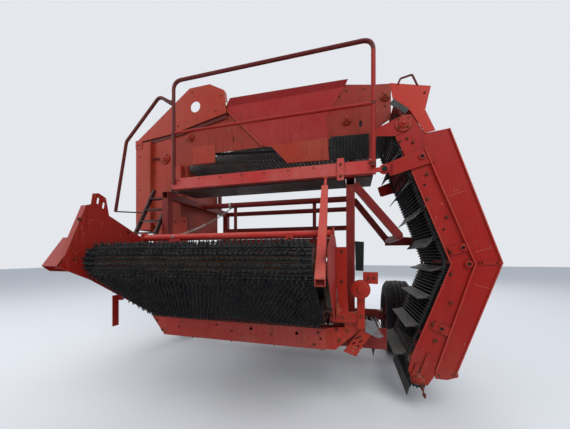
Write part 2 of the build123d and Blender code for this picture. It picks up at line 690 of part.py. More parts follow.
# Elevator: two side plates, each with its band, rim flange, straps, head arm and foot outside the rail plate
foot_x, foot_z = ELEV_FOOT
head_x, head_z = ELEV_HEAD
RAIL_OUTLINE = [
    *ELEV_SEAM,
    (foot_x + 60, foot_z - 45),
    (foot_x - 45, foot_z - 45),
    (foot_x - 75, foot_z + 60),
    *reversed(ELEV_INNER),
    (1149, 1998),
]
HEAD_OUTLINE = [
    (1085, 2133),
    (1149, 1998),
    (1309, 2042),
    (1462, 2159),
    (1294, 2141),
    (1201, 2300),
    (1128, 2311),
]
GUARD_ARM = [
    (943, 2161),
    (943, 2220),
    (1085, 2282),
    (1128, 2311),
    (1201, 2289),
    (1190, 2211),
    (1149, 2170),
    (1085, 2144),
]
BAND_LAP = 18
bend_x, bend_z = ELEV_OUTER[1]
seam_top, seam_bend, seam_low = [(x - BAND_LAP, z) for x, z in ELEV_SEAM]
BANDS = [
    [ELEV_OUTER[0], (bend_x, bend_z + 1), (seam_bend[0], bend_z), seam_top],
    [(bend_x, bend_z - 1), ELEV_OUTER[2], (1380, 300), seam_low, (seam_bend[0], bend_z - 2)],
]
STRAPS = [
    ([(1015, 1932), (1314, 2041), (1355, 1914), (1044, 1834)], (1270, 1961, 14)),
    ([(1436, 1260), (1585, 1310), (1610, 1251), (1462, 1200)], (1540, 1267, 13)),
    ([(1321, 652), (1450, 595), (1477, 658), (1348, 715)], (1402, 656, 13)),
    ([(1321, 452), (1245, 278), (1258, 272), (1335, 446)], (1330, 440, 4)),
]
ELEV_HOLES = [(1290, 1745, 10), (1420, 1400, 10), (1370, 560, 10)]
STRAP = 5

for name, rail_at, side in (("rear", ELEV_REAR, -1), ("front", ELEV_FRONT + PLATE, 1)):
    with BuildPart() as elevator_side:
        sheet("Y", rail_at, -side * PLATE, RAIL_OUTLINE, ELEV_HOLES)
        sheet("Y", rail_at, -side * PLATE, HEAD_OUTLINE)
        for band in BANDS:
            sheet("Y", rail_at, side * PLATE, band)
        fold("Y", rail_at + side * PLATE, -side * ELEV_RIM, ELEV_OUTER, -PLATE)
        for outline, hole in STRAPS:
            sheet("Y", rail_at, side * STRAP, outline, [hole])
        sheet("Y", rail_at, side * 8, [(1362, 271), (1362, 327), (1430, 335), (1514, 327), (1514, 300), (1440, 271)])
        bearing("Y", rail_at, head_x, head_z, depth=side * 34)
        bearing("Y", rail_at, foot_x, foot_z, 34, depth=side * 30)
        prism("Y", rail_at, side * 14, 1579, 1141, 22)
        if side > 0:
            for x, z in ELEV_TIES:
                prism("Y", ELEV_REAR + PLATE, ELEV_INSIDE, x, z, ELEV_TIE_R)
        else:
            sheet("Y", rail_at, -STRAP, GUARD_ARM)
            prism("Y", rail_at, -STRAP, *ELEV_HANGER, 34)
    write(elevator_side, f"elevator_side_{name}")

elevator_loop = Loop(
    (*ELEV_FOOT, ELEV_FOOT_ROLLER),
    (*ELEV_GUIDE, ELEV_GUIDE_R),
    (*ELEV_BEND_IN, -ELEV_BEND_R),
    (*ELEV_HEAD, ELEV_HEAD_ROLLER),
    (*ELEV_BEND_OUT, ELEV_BEND_R),
)
ELEV_Y = ELEV_REAR + PLATE + 8
ELEV_WIDTH = ELEV_INSIDE - 16
with BuildPart() as elevator_web:
    belts("Y", elevator_loop, [ELEV_Y, ELEV_Y + ELEV_WIDTH - BELT_WIDTH], BELT_WIDTH)
    places = elevator_loop.stations(ELEV_ROD_PITCH, ROD_OUT)
    rods("Y", ELEV_Y, ELEV_WIDTH, places, ROD, ROD)
    flights("Y", ELEV_Y + 5, ELEV_WIDTH - 10, places[2::FLIGHT_EVERY], FLIGHT_LENGTH, FLIGHT_THICK, FLIGHT_DROOP)
write(elevator_web, "elevator_web")

with BuildPart() as elevator_rollers:
    for place, radius in ((ELEV_FOOT, ELEV_FOOT_ROLLER), (ELEV_HEAD, ELEV_HEAD_ROLLER), (ELEV_GUIDE, ELEV_GUIDE_R)):
        start, length = ELEV_REAR + PLATE + RUN, ELEV_INSIDE - 2 * RUN
        roller("Y", ELEV_Y, ELEV_WIDTH, *place, radius, start, length, 18)
write(elevator_rollers, "elevator_rollers")

# Hood over the elevator's head, with a rod handle
HOOD = [(1043, 2568), (1333, 2494), (1294, 2320), (1363, 2154), (1294, 2141), (1191, 2325), (1064, 2437)]
with BuildPart() as elevator_hood:
    for y in (ELEV_REAR - PLATE, ELEV_FRONT + PLATE):
        sheet("Y", y, PLATE, HOOD)
    fold("Y", ELEV_REAR, ELEV_INSIDE + 2 * PLATE, [(1110, 2551), *HOOD[1:3]], -PLATE)
    y = ELEV_REAR - PLATE / 2
    tube([(1100, y, 2545), (1120, y, 2590), (1203, y, 2605), (1240, y, 2515)], 7, 12)
write(elevator_hood, "elevator_hood")

# Sorting table: side plates with bearings, rod web and rollers
TABLE_SIDE = [
    (-1450, 2240),
    (-1450, 2590),
    (-604, 2745),
    (639, 2745),
    (639, 2872),
    (935, 2819),
    (1102, 2800),
    (1102, 2476),
    (975, 2397),
    (935, 2317),
    (639, 2354),
    (-723, 2352),
    (-723, 2240),
]
TABLE_SLOTS = [(831, 2464, 60, 26, 90), (-500, 2480, 60, 10, 90)]
with BuildPart() as table_frame:
    for y in (TABLE_REAR, TABLE_FRONT):
        sheet("Y", y, PLATE, TABLE_SIDE, slots=TABLE_SLOTS)
        sheet("Y", y, PLATE, [(790, 2340), (930, 2325), (910, 2160), (800, 2160)])
    for x, bottom in ((TABLE_LEG_LEFT, 2240), (TABLE_LEG_RIGHT, 2352)):
        for y in (TABLE_REAR, TABLE_FRONT):
            block((x - 20, y - 17, POST_TOP + POST), (x + 20, y + PLATE + 17, bottom))
    for x, z in ((706, 2511), (1053, 2689), (-1041, 2561)):
        bearing("Y", TABLE_REAR, x, z, 34, depth=-24)
    bearing("Y", TABLE_REAR, *TABLE_RIGHT, depth=-20)
    for x, z in (TABLE_LEFT, TABLE_RIGHT):
        bearing("Y", TABLE_FRONT + PLATE, x, z, depth=26)
write(table_frame, "table_frame")

table_loop = Loop((*TABLE_LEFT, TABLE_ROLLER), (*TABLE_RIGHT, TABLE_ROLLER))
TABLE_Y = TABLE_REAR + PLATE + 20
TABLE_WIDTH = TABLE_INSIDE - 40
with BuildPart() as table_web:
    belts("Y", table_loop, [TABLE_Y, TABLE_Y + TABLE_WIDTH - BELT_WIDTH], BELT_WIDTH)
    rods("Y", TABLE_Y, TABLE_WIDTH, table_loop.stations(ROD_PITCH, ROD_OUT), ROD, ROD)
write(table_web, "table_web")

with BuildPart() as table_rollers:
    for x, z in (TABLE_LEFT, TABLE_RIGHT):
        start, length = TABLE_REAR + PLATE + RUN, TABLE_INSIDE - 2 * RUN
        roller("Y", TABLE_Y, TABLE_WIDTH, x, z, TABLE_ROLLER, start, length, 15)
write(table_rollers, "table_rollers")

# Hopper against the table's rear side, folded back above its lower part, and the angle along its left edge
HOPPER = [
    (-607, 2828),
    (-521, 2905),
    (715, 2890),
    (513, 2577),
    (542, 2129),
    (114, 2140),
    (-26, 2331),
    (-167, 2363),
]
HOPPER_FOLDS = [(-1578, 2120), (-1552, 2360), (-1552, 2840), (-1590, 2905)]
with BuildPart() as hopper:
    wall = [*HOPPER_FOLDS, *[(y + PLATE, z) for y, z in reversed(HOPPER_FOLDS)]]
    sheet("X", -640, 1380, wall)
    with BuildSketch(layer("Y", -1600)) as shape:
        with BuildLine():
            Polyline(*HOPPER, close=True)
        make_face()
    grow(shape, "Y", 60, Mode.INTERSECT)
write(hopper, "hopper")

# Tower at the left end: post, panels, lower panel and the bearing of the table's left roller
PANEL_Y = TOWER_REAR + 14
with BuildPart() as tower_frame:
    right = POSTS[0] - POST / 2
    sheet("Y", TOWER_REAR, PLATE, [(POST_LEFT, 1515), (POST_LEFT, 2570), (-1555, 2570), (-1555, 1515)])
    block((-1561, TOWER_REAR - 30, 1515), (-1555, TOWER_REAR + PLATE, 2570))
    sheet("Y", PANEL_Y, PLATE, [(-1561, 1600), (-1561, 2570), (-1250, 2600), (-1250, 1442), (-1450, 1442)])
    block((-1561, TOWER_REAR, 1600), (-1555, PANEL_Y + PLATE, 2570))
    block((-1255, TOWER_REAR - 40, 1300), (right, PANEL_Y + PLATE, 2235))
    bearing("Y", PANEL_Y, *TABLE_LEFT, depth=-30)
    sheet("Y", TOWER_REAR - 46, PLATE, [(-1500, 1300), (-1500, 1500), (-1255, 1640), (-1034, 1640), (-1034, 1300)])
    block((POST_LEFT, TOWER_REAR + PLATE, 1515), (POST_LEFT + PLATE, TABLE_FRONT - 10, 2560))
    block((right - PLATE, PANEL_Y, 1442), (right, TABLE_FRONT - 10, 2200))
    block((POST_LEFT, TABLE_FRONT - 10, 1515), (right, TABLE_FRONT - 10 + PLATE, 2200))
write(tower_frame, "tower_frame")

TOWER_HOOD = [
    (-1795, 2575),
    (-1034, 3109),
    (-777, 3112),
    (-601, 3017),
    (-583, 2896),
    (-573, 2764),
    (-1249, 2623),
]
with BuildPart() as tower_hood:
    sheet("Y", TOWER_REAR - PLATE, PLATE, TOWER_HOOD, holes=[(*TOWER_HOLE, TOWER_HOLE_R)])
    fold("Y", TOWER_REAR, EDGE_DEPTH, TOWER_HOOD[:5], -4)
    block((POST_LEFT, TOWER_REAR - PLATE, 2500), (-1700, TOWER_REAR, 2600))
write(tower_hood, "tower_hood")

# Platform: edge beam, slats, side bearers, the bracket below its edge and the elevator's hanger
with BuildPart() as platform:
    y = FLOOR_REAR + EDGE_DEPTH / 2
    z = FLOOR_Z - EDGE_HEIGHT / 2
    beam((FLOOR_LEFT, y, z), (FLOOR_RIGHT, y, z), EDGE_DEPTH, EDGE_HEIGHT)
    block((FLOOR_RIGHT - WALL, FLOOR_REAR, FLOOR_Z - EDGE_HEIGHT), (FLOOR_RIGHT, FLOOR_REAR + EDGE_DEPTH, FLOOR_Z))
    for n in range(7):
        y = FLOOR_REAR + EDGE_DEPTH + 10 + n * 1.5 * SLAT
        block((FLOOR_LEFT, y, FLOOR_Z - SLAT), (FLOOR_RIGHT, y + SLAT, FLOOR_Z))
    for x in (FLOOR_LEFT + 20, -20, FLOOR_RIGHT - 50):
        bearer_low = FLOOR_Z - EDGE_HEIGHT
        block((x, FLOOR_REAR + EDGE_DEPTH, bearer_low), (x + 30, FLOOR_FRONT, FLOOR_Z - SLAT))
    hanger_x, hanger_z = ELEV_HANGER
    block((FLOOR_RIGHT, FLOOR_REAR + 10, hanger_z - 16), (hanger_x, ELEV_REAR - STRAP, hanger_z + 16))
    prism("Y", FLOOR_REAR + 10, ELEV_REAR - STRAP - FLOOR_REAR - 10, *ELEV_HANGER, 22)
    block((635, FLOOR_REAR - 14, 1817), (691, FLOOR_REAR, 1996))
write(platform, "platform")

HANDRAIL_Y = FLOOR_REAR - HANDRAIL_R
HANDRAIL_LEFT, HANDRAIL_RIGHT = -930, 915
with BuildPart() as handrail:
    foot = FLOOR_Z - 60
    y = HANDRAIL_Y
    left, right = HANDRAIL_LEFT, HANDRAIL_RIGHT
    tube([(left, y, foot), (left, y, RAIL_TOP), (right, y, RAIL_TOP), (right, y, foot)], HANDRAIL_R, 90)
    prism("X", left, right - left, y, RAIL_MID, MID_RAIL_R)
write(handrail, "handrail")

# Ladder: two stiles with treads, and its bent grab tube on the handrail's left upright
LADDER_TOP, LADDER_FOOT = (-1700, 1940), (-1960, 1420)
GRAB = [(-1651, 1664), (-1506, 2385), (-1095, 2785), (HANDRAIL_LEFT - HANDRAIL_R - 8, 2690)]
with BuildPart() as ladder:
    for x in (LADDER_LEFT, LADDER_RIGHT):
        beam((x, *LADDER_TOP), (x, *LADDER_FOOT), 20, 40, 0)
    for n in range(4):
        z = 1830 - n * 130
        y = LADDER_TOP[0] - (LADDER_TOP[1] - z) / 2
        block((LADDER_LEFT, y - 35, z - 12), (LADDER_RIGHT, y + 35, z))
    block((LADDER_RIGHT, -1720, 1880), (FLOOR_LEFT + 20, -1690, 1910))
    tube([(x, HANDRAIL_Y, z) for x, z in GRAB], GRAB_R, 60)
    tube([(GRAB[0][0], HANDRAIL_Y, GRAB[0][1] + 4), (LADDER_LEFT, -1838, 1664)], GRAB_R / 2)
write(ladder, "ladder")

# Drawbar: an A-frame from the headstock to the coupling head, with the neck's sleeve and the jack's tube
NECK_Z = EYE_Z + EYE_THICK / 2
SLEEVE = (2620, 130)
JACK_TUBE = (420, 480)
tongue_y, tongue_z = TONGUE
with BuildPart() as drawbar:
    for side in (-1, 1):
        x = WEB_MID + side * 500
        block((x - 85, RAIL_FRONT - 10, RAIL_HIGH + 5), (x + 85, RAIL_FRONT + 26, RAIL_HIGH + HEADSTOCK - 5))
        beam((x, RAIL_FRONT + 24, HEADSTOCK_Z), (WEB_MID + side * 20, tongue_y, tongue_z), BAR, BAR)
    beam((WEB_MID - 290, 1900, 806), (WEB_MID + 290, 1900, 806), 60, 60)
    block((WEB_MID - 60, tongue_y - 40, tongue_z - 55), (WEB_MID + 60, tongue_y + 80, tongue_z + 55))
    nose = [(tongue_y - 20, tongue_z - 40), (tongue_y - 20, tongue_z), (tongue_y + 100, tongue_z)]
    low = NECK_Z + NECK_R + 10
    sleeve_end = sum(SLEEVE)
    sheet("X", WEB_MID - 20, 40, [*nose, (sleeve_end, low + 20), (sleeve_end, low), (SLEEVE[0], low)])
    prism("Y", *SLEEVE, WEB_MID, NECK_Z, NECK_R + 20)
    disc("Y", *SLEEVE, WEB_MID, NECK_Z, NECK_R + PIN_GAP, mode=Mode.SUBTRACT)
    prism("Z", *JACK_TUBE, JACK_X, JACK_Y, JACK_R, 16)
    disc("Z", *JACK_TUBE, JACK_X, JACK_Y, JACK_LEG_R + RUN, mode=Mode.SUBTRACT)
    prism("Z", sum(JACK_TUBE), 12, JACK_X, JACK_Y, JACK_R + 3, 12)
    block((JACK_X - 50, JACK_Y - 8, sum(JACK_TUBE) + 12), (JACK_X + 50, JACK_Y + 8, sum(JACK_TUBE) + 24))
    block((WEB_MID + 50, JACK_Y - 30, tongue_z - 50), (JACK_X - JACK_R + 4, JACK_Y + 30, tongue_z + 50))
write(drawbar, "drawbar")

with BuildPart() as hitch_eye:
    back, front = SLEEVE[0] - 12, SLEEVE[0] + SLEEVE[1]
    disc("Y", back - 14, EYE_Y - EYE_R + 8 - back + 14, WEB_MID, NECK_Z, NECK_R)
    prism("Y", SLEEVE[0] - 1, -14, WEB_MID, NECK_Z, NECK_R + 8, 6)
    prism("Y", front + 1, 14, WEB_MID, NECK_Z, NECK_R + 14)
    prism("Z", EYE_Z, EYE_THICK, WEB_MID, EYE_Y, EYE_R, 24)
    disc("Z", EYE_Z, EYE_THICK, WEB_MID, EYE_Y, EYE_BORE, mode=Mode.SUBTRACT)
write(hitch_eye, "hitch_eye")

with BuildPart() as jack_leg:
    disc("Z", 12, JACK_TUBE[0] + 58, JACK_X, JACK_Y, JACK_LEG_R)
    block((JACK_X - 75, JACK_Y - 75, 0), (JACK_X + 75, JACK_Y + 75, 12))
write(jack_leg, "jack_leg")

# Gearbox on the headstock, with its input shaft
INPUT_Z = HEADSTOCK_Z + 170
with BuildPart() as gearbox:
    base = HEADSTOCK_Z + HEADSTOCK / 2
    block((WEB_MID - 170, HEADSTOCK_Y - 50, base), (WEB_MID + 170, HEADSTOCK_Y + 50, base + 16))
    low, high = INPUT_Z - 95, INPUT_Z + 95
    outline = [(-110, base + 16), (-130, low + 30), (-130, high - 40), (-90, high), (90, high), (130, high - 40)]
    outline = [(WEB_MID + x, z) for x, z in [*outline, (130, low + 30), (110, base + 16)]]
    sheet("Y", HEADSTOCK_Y - 150, 200, outline)
    prism("Y", HEADSTOCK_Y + 50, 14, WEB_MID, INPUT_Z, 75)
    prism("Y", HEADSTOCK_Y + 64, 16, WEB_MID, INPUT_Z, 45)
    disc("Y", HEADSTOCK_Y + 80, INPUT_LENGTH, WEB_MID, INPUT_Z, INPUT_R)
    prism("X", WEB_MID - 130, -30, HEADSTOCK_Y - 60, INPUT_Z, 60)
    prism("X", WEB_MID + 130, 30, HEADSTOCK_Y - 60, INPUT_Z, 60)
write(gearbox, "gearbox")

# Intake: arms on the pivots with their horns, share, disc coulters on their pins and the depth roller
HANGER = [(2020, 470), (2100, 440), (2240, 175), (2190, 125), (2140, 175)]
y, z = PIVOT
horn_y, horn_z = HORN
HORN_OUTLINE = [(y - 38, z), (y + 38, z), (horn_y + 22, horn_z + 20), (horn_y - 22, horn_z + 20)]
rise = (ARM_END[1] - z) / (ARM_END[0] - y)
with BuildPart() as intake_frame:
    for x, side in zip(RAILS, (1, -1)):
        prism("X", x - ARM_WIDTH / 2, ARM_WIDTH, *PIVOT, 38)
        beam((x, y + 28, z + 28 * rise), (x, *ARM_END), ARM_WIDTH, 80)
        for end in (-1, 1):
            sheet("X", x + end * ARM_WIDTH / 2, -end * HORN_PLATE, HORN_OUTLINE)
        prism("X", x - ARM_WIDTH / 2, ARM_WIDTH, *HORN, RAM_PIN)
        disc("X", x - ARM_WIDTH, 2 * ARM_WIDTH, *PIVOT, PIN + PIN_GAP, mode=Mode.SUBTRACT)
        inner = x + side * ARM_WIDTH / 2
        sheet("X", inner, -side * 10, [(1750, 560), (1830, 530), (1830, 200), (1750, 200)])
        disc("X", inner, side * 58, *COULTER, PIN)
        sheet("X", inner, -side * 10, HANGER)
        disc("X", inner + side, -side * 12, *ROLLER, GUDGEON_R + PIN_GAP, mode=Mode.SUBTRACT)
    beam((RAILS[0] - ARM_WIDTH / 2, *ARM_END), (RAILS[1] + ARM_WIDTH / 2, *ARM_END), 80, 80)
    for x in (-700, WEB_MID, 350):
        sheet("X", x, 12, [(2060, 405), (2010, 405), (1560, 147.6), (1600, 126.5)])
write(intake_frame, "intake_frame")

with BuildPart() as share:
    sheet("X", WEB_LEFT, WEB_WIDTH, [(1500, 165), (1508, 175), (1760, 42), (1752, 32)])
write(share, "share")

for name, x, side in (("left", RAILS[0], 1), ("right", RAILS[1], -1)):
    hub = x + side * (ARM_WIDTH / 2 + 3)
    with BuildPart() as coulter:
        prism("X", hub, side * 50, *COULTER, 45, 12)
        prism("X", hub + side * 21, side * 8, *COULTER, COULTER_R, 32)
        disc("X", hub, side * 50, *COULTER, PIN + PIN_GAP, mode=Mode.SUBTRACT)
    write(coulter, f"coulter_{name}")

with BuildPart() as depth_roller:
    inset = ARM_WIDTH / 2
    start, length = RAILS[0] + inset, RAILS[1] - RAILS[0] - 2 * inset
    prism("X", start + 20, length - 40, *ROLLER, ROLLER_R, 24)
    disc("X", start - 12, length + 24, *ROLLER, GUDGEON_R)
write(depth_roller, "depth_roller")

# Lift cylinders: barrels on the rails' brackets and rods whose eyes sit round the horns' pins
rear = Vector(0, *RAM_REAR)
run = Vector(0, *HORN) - rear
aim = run.normalized()
with BuildPart() as lift_barrels:
    for x in RAILS:
        base = rear + Vector(x, 0, 0)
        prism("X", x - RAM_EYE_HALF, 2 * RAM_EYE_HALF, *RAM_REAR, RAM_EYE)
        pipe(base + aim * 62, base + aim * 80, RAM_R)
        pipe(base + aim * 80, base + aim * RAM_LENGTH, RAM_R, RAM_ROD_R + PIN_GAP)
        y, z = RAM_REAR
        neck = [(y + 10, z - 18), (y + 10, z + 18), (y + 70, z + 20), (y + 70, z - 16)]
        sheet("X", x - RAM_EYE_HALF, 2 * RAM_EYE_HALF, neck)
        disc("X", x - RAM_EYE_HALF, 2 * RAM_EYE_HALF, *RAM_REAR, RAM_PIN + PIN_GAP, mode=Mode.SUBTRACT)
write(lift_barrels, "lift_barrels")

horn_y, horn_z = HORN
eye = [(horn_y + RAM_EYE * cos(k * pi / 4), horn_z + RAM_EYE * sin(k * pi / 4)) for k in range(8)]
with BuildPart() as lift_rods:
    for x in RAILS:
        base = rear + Vector(x, 0, 0)
        pipe(base + aim * 150, base + aim * (run.length - 34), RAM_ROD_R)
        low, high = horn_y - 60, horn_y - 22
        shank = [(low, horn_z - 14), (low, horn_z + 9), (high, horn_z + 12), (high, horn_z - 12)]
        sheet("X", x - RAM_EYE_HALF + 1, 2 * RAM_EYE_HALF - 2, shank)
        sheet("X", x - RAM_EYE_HALF + 1, 2 * RAM_EYE_HALF - 2, eye, [(*HORN, RAM_PIN + RAM_PLAY)])
write(lift_rods, "lift_rods")
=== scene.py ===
# %% [markdown]
# # Looks of a trailed onion harvester
#
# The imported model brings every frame, plate, roller and wheel of the machine at its real size. This lesson
# dresses it: sun-bleached red paint with chips and rust, black rubber, worn steel, and the small forms that
# a frame drawing leaves out, such as bolts, rubber fingers and tyre ribs. +Y is the direction of travel and
# +Z is up. The scene is in metres, and the added pieces are drawn in millimetres.

# %% Load the machine
import json
import random
from math import asin, atan2, cos, hypot, pi, radians, sin

import bmesh
import bpy
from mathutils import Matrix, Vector


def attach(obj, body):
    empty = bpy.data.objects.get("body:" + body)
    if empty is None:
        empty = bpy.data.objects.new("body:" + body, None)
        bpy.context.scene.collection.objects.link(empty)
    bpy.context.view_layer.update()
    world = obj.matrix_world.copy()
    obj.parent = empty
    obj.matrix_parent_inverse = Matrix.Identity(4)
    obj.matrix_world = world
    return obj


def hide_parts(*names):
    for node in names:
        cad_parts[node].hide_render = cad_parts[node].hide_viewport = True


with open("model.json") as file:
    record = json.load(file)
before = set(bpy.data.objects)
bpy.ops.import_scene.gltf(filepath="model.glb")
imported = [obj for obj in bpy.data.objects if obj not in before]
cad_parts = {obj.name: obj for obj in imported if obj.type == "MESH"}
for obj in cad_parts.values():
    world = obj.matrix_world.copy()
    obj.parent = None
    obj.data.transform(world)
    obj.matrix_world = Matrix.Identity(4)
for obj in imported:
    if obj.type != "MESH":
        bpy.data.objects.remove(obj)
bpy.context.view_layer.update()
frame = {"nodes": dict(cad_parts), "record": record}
scene = bpy.context.scene

# %% [markdown]
# ## The photographer's place
#
# The photograph is a very wide view, taken close behind the machine and a little to its right. The lens is
# short, the camera is held level, and the horizon lies below the middle of the picture. A level camera keeps
# upright posts upright; the low horizon then comes from a shift of the lens and not from a tilt.

# %% Camera
EYE = (0.758, -4.04, 1.20)
YAW = 15.13
FOCAL_PX = 250
FRAME_WIDTH_PX, FRAME_HEIGHT_PX = 570, 429
HORIZON_PX = 256

lens = bpy.data.cameras.new("wide_lens")
lens.sensor_width = 36
lens.lens = lens.sensor_width * FOCAL_PX / FRAME_WIDTH_PX
lens.shift_y = (HORIZON_PX - FRAME_HEIGHT_PX / 2) / FRAME_WIDTH_PX
lens.clip_start = 0.01
camera = bpy.data.objects.new("photographer", lens)
camera.location = EYE
camera.rotation_euler = (radians(90), 0, radians(YAW))
scene.collection.objects.link(camera)
scene.camera = camera
print("lens", round(lens.lens, 2), "mm, shift", round(lens.shift_y, 4))

# %% [markdown]
# ## Shader sums as plain Python
#
# A weathered finish is mostly arithmetic: how much rust, how much dust, how far the sun has bleached the
# paint. It reads best as arithmetic too. `Wire` wraps one socket and adds a Math node whenever it meets a
# number or another wire in an expression, and `Bench` adds every other kind of node.


# %% Wire and Bench
class Wire:
    """One value inside a material."""

    def __init__(self, bench, socket):
        self.bench = bench
        self.socket = socket

    def math(self, operation, *others):
        return self.bench.add("ShaderNodeMath", {"operation": operation}, dict(enumerate((self, *others))))

    def __add__(self, other):
        return self.math("ADD", other)

    def __sub__(self, other):
        return self.math("SUBTRACT", other)

    def __rsub__(self, other):
        return self.bench.add("ShaderNodeMath", {"operation": "SUBTRACT"}, {0: other, 1: self})

    def __mul__(self, other):
        return self.math("MULTIPLY", other)

    __radd__ = __add__

    def least(self, other):
        return self.math("MINIMUM", other)

    def most(self, other):
        return self.math("MAXIMUM", other)

    def ramp(self, low, high):
        """0 below low, 1 above high, smooth between; high may be the smaller of the two."""
        settings = {"interpolation_type": "SMOOTHSTEP", "clamp": True}
        return self.bench.add("ShaderNodeMapRange", settings, {0: self, 1: low, 2: high, 3: 0.0, 4: 1.0})


class Bench:
    """A material's node tree with one shader at its end."""

    def __init__(self, name):
        self.material = bpy.data.materials.new(name)
        self.material.use_nodes = True
        self.tree = self.material.node_tree
        self.shader = self.tree.nodes["Principled BSDF"]

    def add(self, kind, settings, inputs, out=0):
        node = self.tree.nodes.new(kind)
        for key, value in settings.items():
            setattr(node, key, value)
        for key, value in inputs.items():
            self.feed(node.inputs[key], value)
        return Wire(self, node.outputs[out])

    def feed(self, socket, value):
        if isinstance(value, Wire):
            self.tree.links.new(value.socket, socket)
        else:
            socket.default_value = value

    def place(self, scale=(1, 1, 1)):
        """The point on the machine, in metres; it moves with the piece that is shaded."""
        point = self.add("ShaderNodeTexCoord", {}, {}, "Object")
        return self.add("ShaderNodeMapping", {}, {"Vector": point, "Scale": scale})

    def noise(self, scale, detail=4.0, rough=0.55, stretch=(1, 1, 1)):
        inputs = {"Vector": self.place(stretch), "Scale": scale, "Detail": detail, "Roughness": rough}
        return self.add("ShaderNodeTexNoise", {}, inputs)

    def mix(self, factor, first, second):
        """A colour between two colours."""
        node = self.tree.nodes.new("ShaderNodeMix")
        node.data_type = "RGBA"
        for socket, value in ((node.inputs[0], factor), (node.inputs[6], first), (node.inputs[7], second)):
            self.feed(socket, (*value, 1.0) if isinstance(value, tuple) and len(value) == 3 else value)
        return Wire(self, node.outputs[2])

    def height(self):
        """How high the point is, in metres, at rest."""
        return self.add("ShaderNodeSeparateXYZ", {}, {0: self.place()}, 2)

    def facing(self, axis):
        """How far the surface faces along X, Y or Z (0, 1, 2)."""
        normal = self.add("ShaderNodeTexCoord", {}, {}, "Normal")
        return self.add("ShaderNodeSeparateXYZ", {}, {0: normal}, axis)

    def edges(self, radius):
        """1 along the edges of plates and tubes, 0 on their flats."""
        soft = self.add("ShaderNodeBevel", {"samples": 4}, {"Radius": radius})
        flat = self.add("ShaderNodeNewGeometry", {}, {}, "Normal")
        alike = self.add("ShaderNodeVectorMath", {"operation": "DOT_PRODUCT"}, {0: soft, 1: flat}, "Value")
        return (1.0 - alike).ramp(0.02, 0.25)

    def corners(self, reach):
        """1 where the surface is hemmed in, as in a corner or under a flange."""
        open_air = self.add("ShaderNodeAmbientOcclusion", {"samples": 4}, {"Distance": reach}, "AO")
        return 1.0 - open_air

    def finish(self, color, roughness, metallic=0.0, bump=None, depth=0.001):
        """Feed the shader; depth is the height of the bumps in metres."""
        self.feed(self.shader.inputs["Base Color"], color)
        self.feed(self.shader.inputs["Roughness"], roughness)
        self.feed(self.shader.inputs["Metallic"], metallic)
        self.shader.inputs["Specular IOR Level"].default_value = 0.2
        if bump is not None:
            inputs = {"Height": bump, "Strength": 0.6, "Distance": depth}
            self.feed(self.shader.inputs["Normal"], self.add("ShaderNodeBump", {}, inputs, "Normal"))
        return self.material


# %% [markdown]
# ## Old red paint
#
# The paint is decades old. The sun has turned its upper faces chalky and pinkish, rain has drawn dark streaks
# down the sides, crops and stones have scuffed it, and rust sits at the edges and in round chips. One recipe
# makes all reds and browns: each differs only in its tint, in how chalky that tint turns, and in how much
# fading, rust and grime it shows.

# %% Painted sheet metal
RUST_DARK = (0.075, 0.026, 0.012)
RUST_ORANGE = (0.24, 0.075, 0.02)
DUST = (0.30, 0.24, 0.17)
GRIME = (0.028, 0.020, 0.016)
PRIMER = (0.46, 0.23, 0.17)


def painted(name, tint, chalk, fade, rust, grime):
    """Sun-bleached, scuffed and rusty paint over steel."""
    bench = Bench(name)
    cloud = bench.noise(1.7, 5.0)
    blotch = bench.noise(9.0, 6.0, 0.65)
    streak = bench.noise(26.0, 3.0, 0.6, (1.0, 1.0, 0.06))
    grain = bench.noise(150.0, 3.0, 0.6)
    up = bench.facing(2).ramp(0.2, 0.95)
    bleached = ((cloud.ramp(0.42, 0.68) * 0.6 + blotch.ramp(0.45, 0.7) * 0.35 + up * 0.7) * fade).least(1.0)
    color = bench.mix(bleached, tint, chalk)
    wet = streak.ramp(0.52, 0.72) * (1.0 - up) * grime
    color = bench.mix(wet * 0.55, color, tuple(0.35 * c for c in tint))
    hidden = (bench.corners(0.06).ramp(0.35, 0.9) * 0.75 + blotch.ramp(0.62, 0.8) * 0.25) * grime
    color = bench.mix(hidden, color, GRIME)
    scuff = bench.noise(60.0, 2.0, 0.7, (1.0, 1.0, 0.25)).ramp(0.66, 0.72) * cloud.ramp(0.45, 0.6)
    color = bench.mix(scuff * 0.45, color, PRIMER)
    edge = bench.edges(0.009) * blotch.ramp(0.30, 0.56)
    pits = bench.noise(34.0, 6.0, 0.7).ramp(0.665 - 0.10 * rust, 0.71 - 0.10 * rust) * blotch.ramp(0.38, 0.56)
    rusty = (edge * 0.85).most(pits) * min(1.0, 0.35 + rust)
    color = bench.mix(rusty, color, bench.mix(grain, RUST_DARK, RUST_ORANGE))
    dusty = (up * 0.35 + bench.height().ramp(0.9, 0.1) * 0.45) * bench.noise(5.0).ramp(0.3, 0.7)
    color = bench.mix(dusty * 0.3, color, DUST)
    gloss = 0.42 + bleached * 0.25 + rusty * 0.35 + dusty * 0.2
    relief = grain * 0.25 + rusty * 0.7 + blotch * 0.3
    return bench.finish(color, gloss.least(0.95), 0.0, relief, 0.0012)


# %% [markdown]
# ## Rubber, bare steel and tyres
#
# Rubber is nearly black when new, greys with dust on its upper faces and is rubbed pale along its edges. Bare
# steel on an old machine is dull, with blotches of brown rust that grow in its hollows.


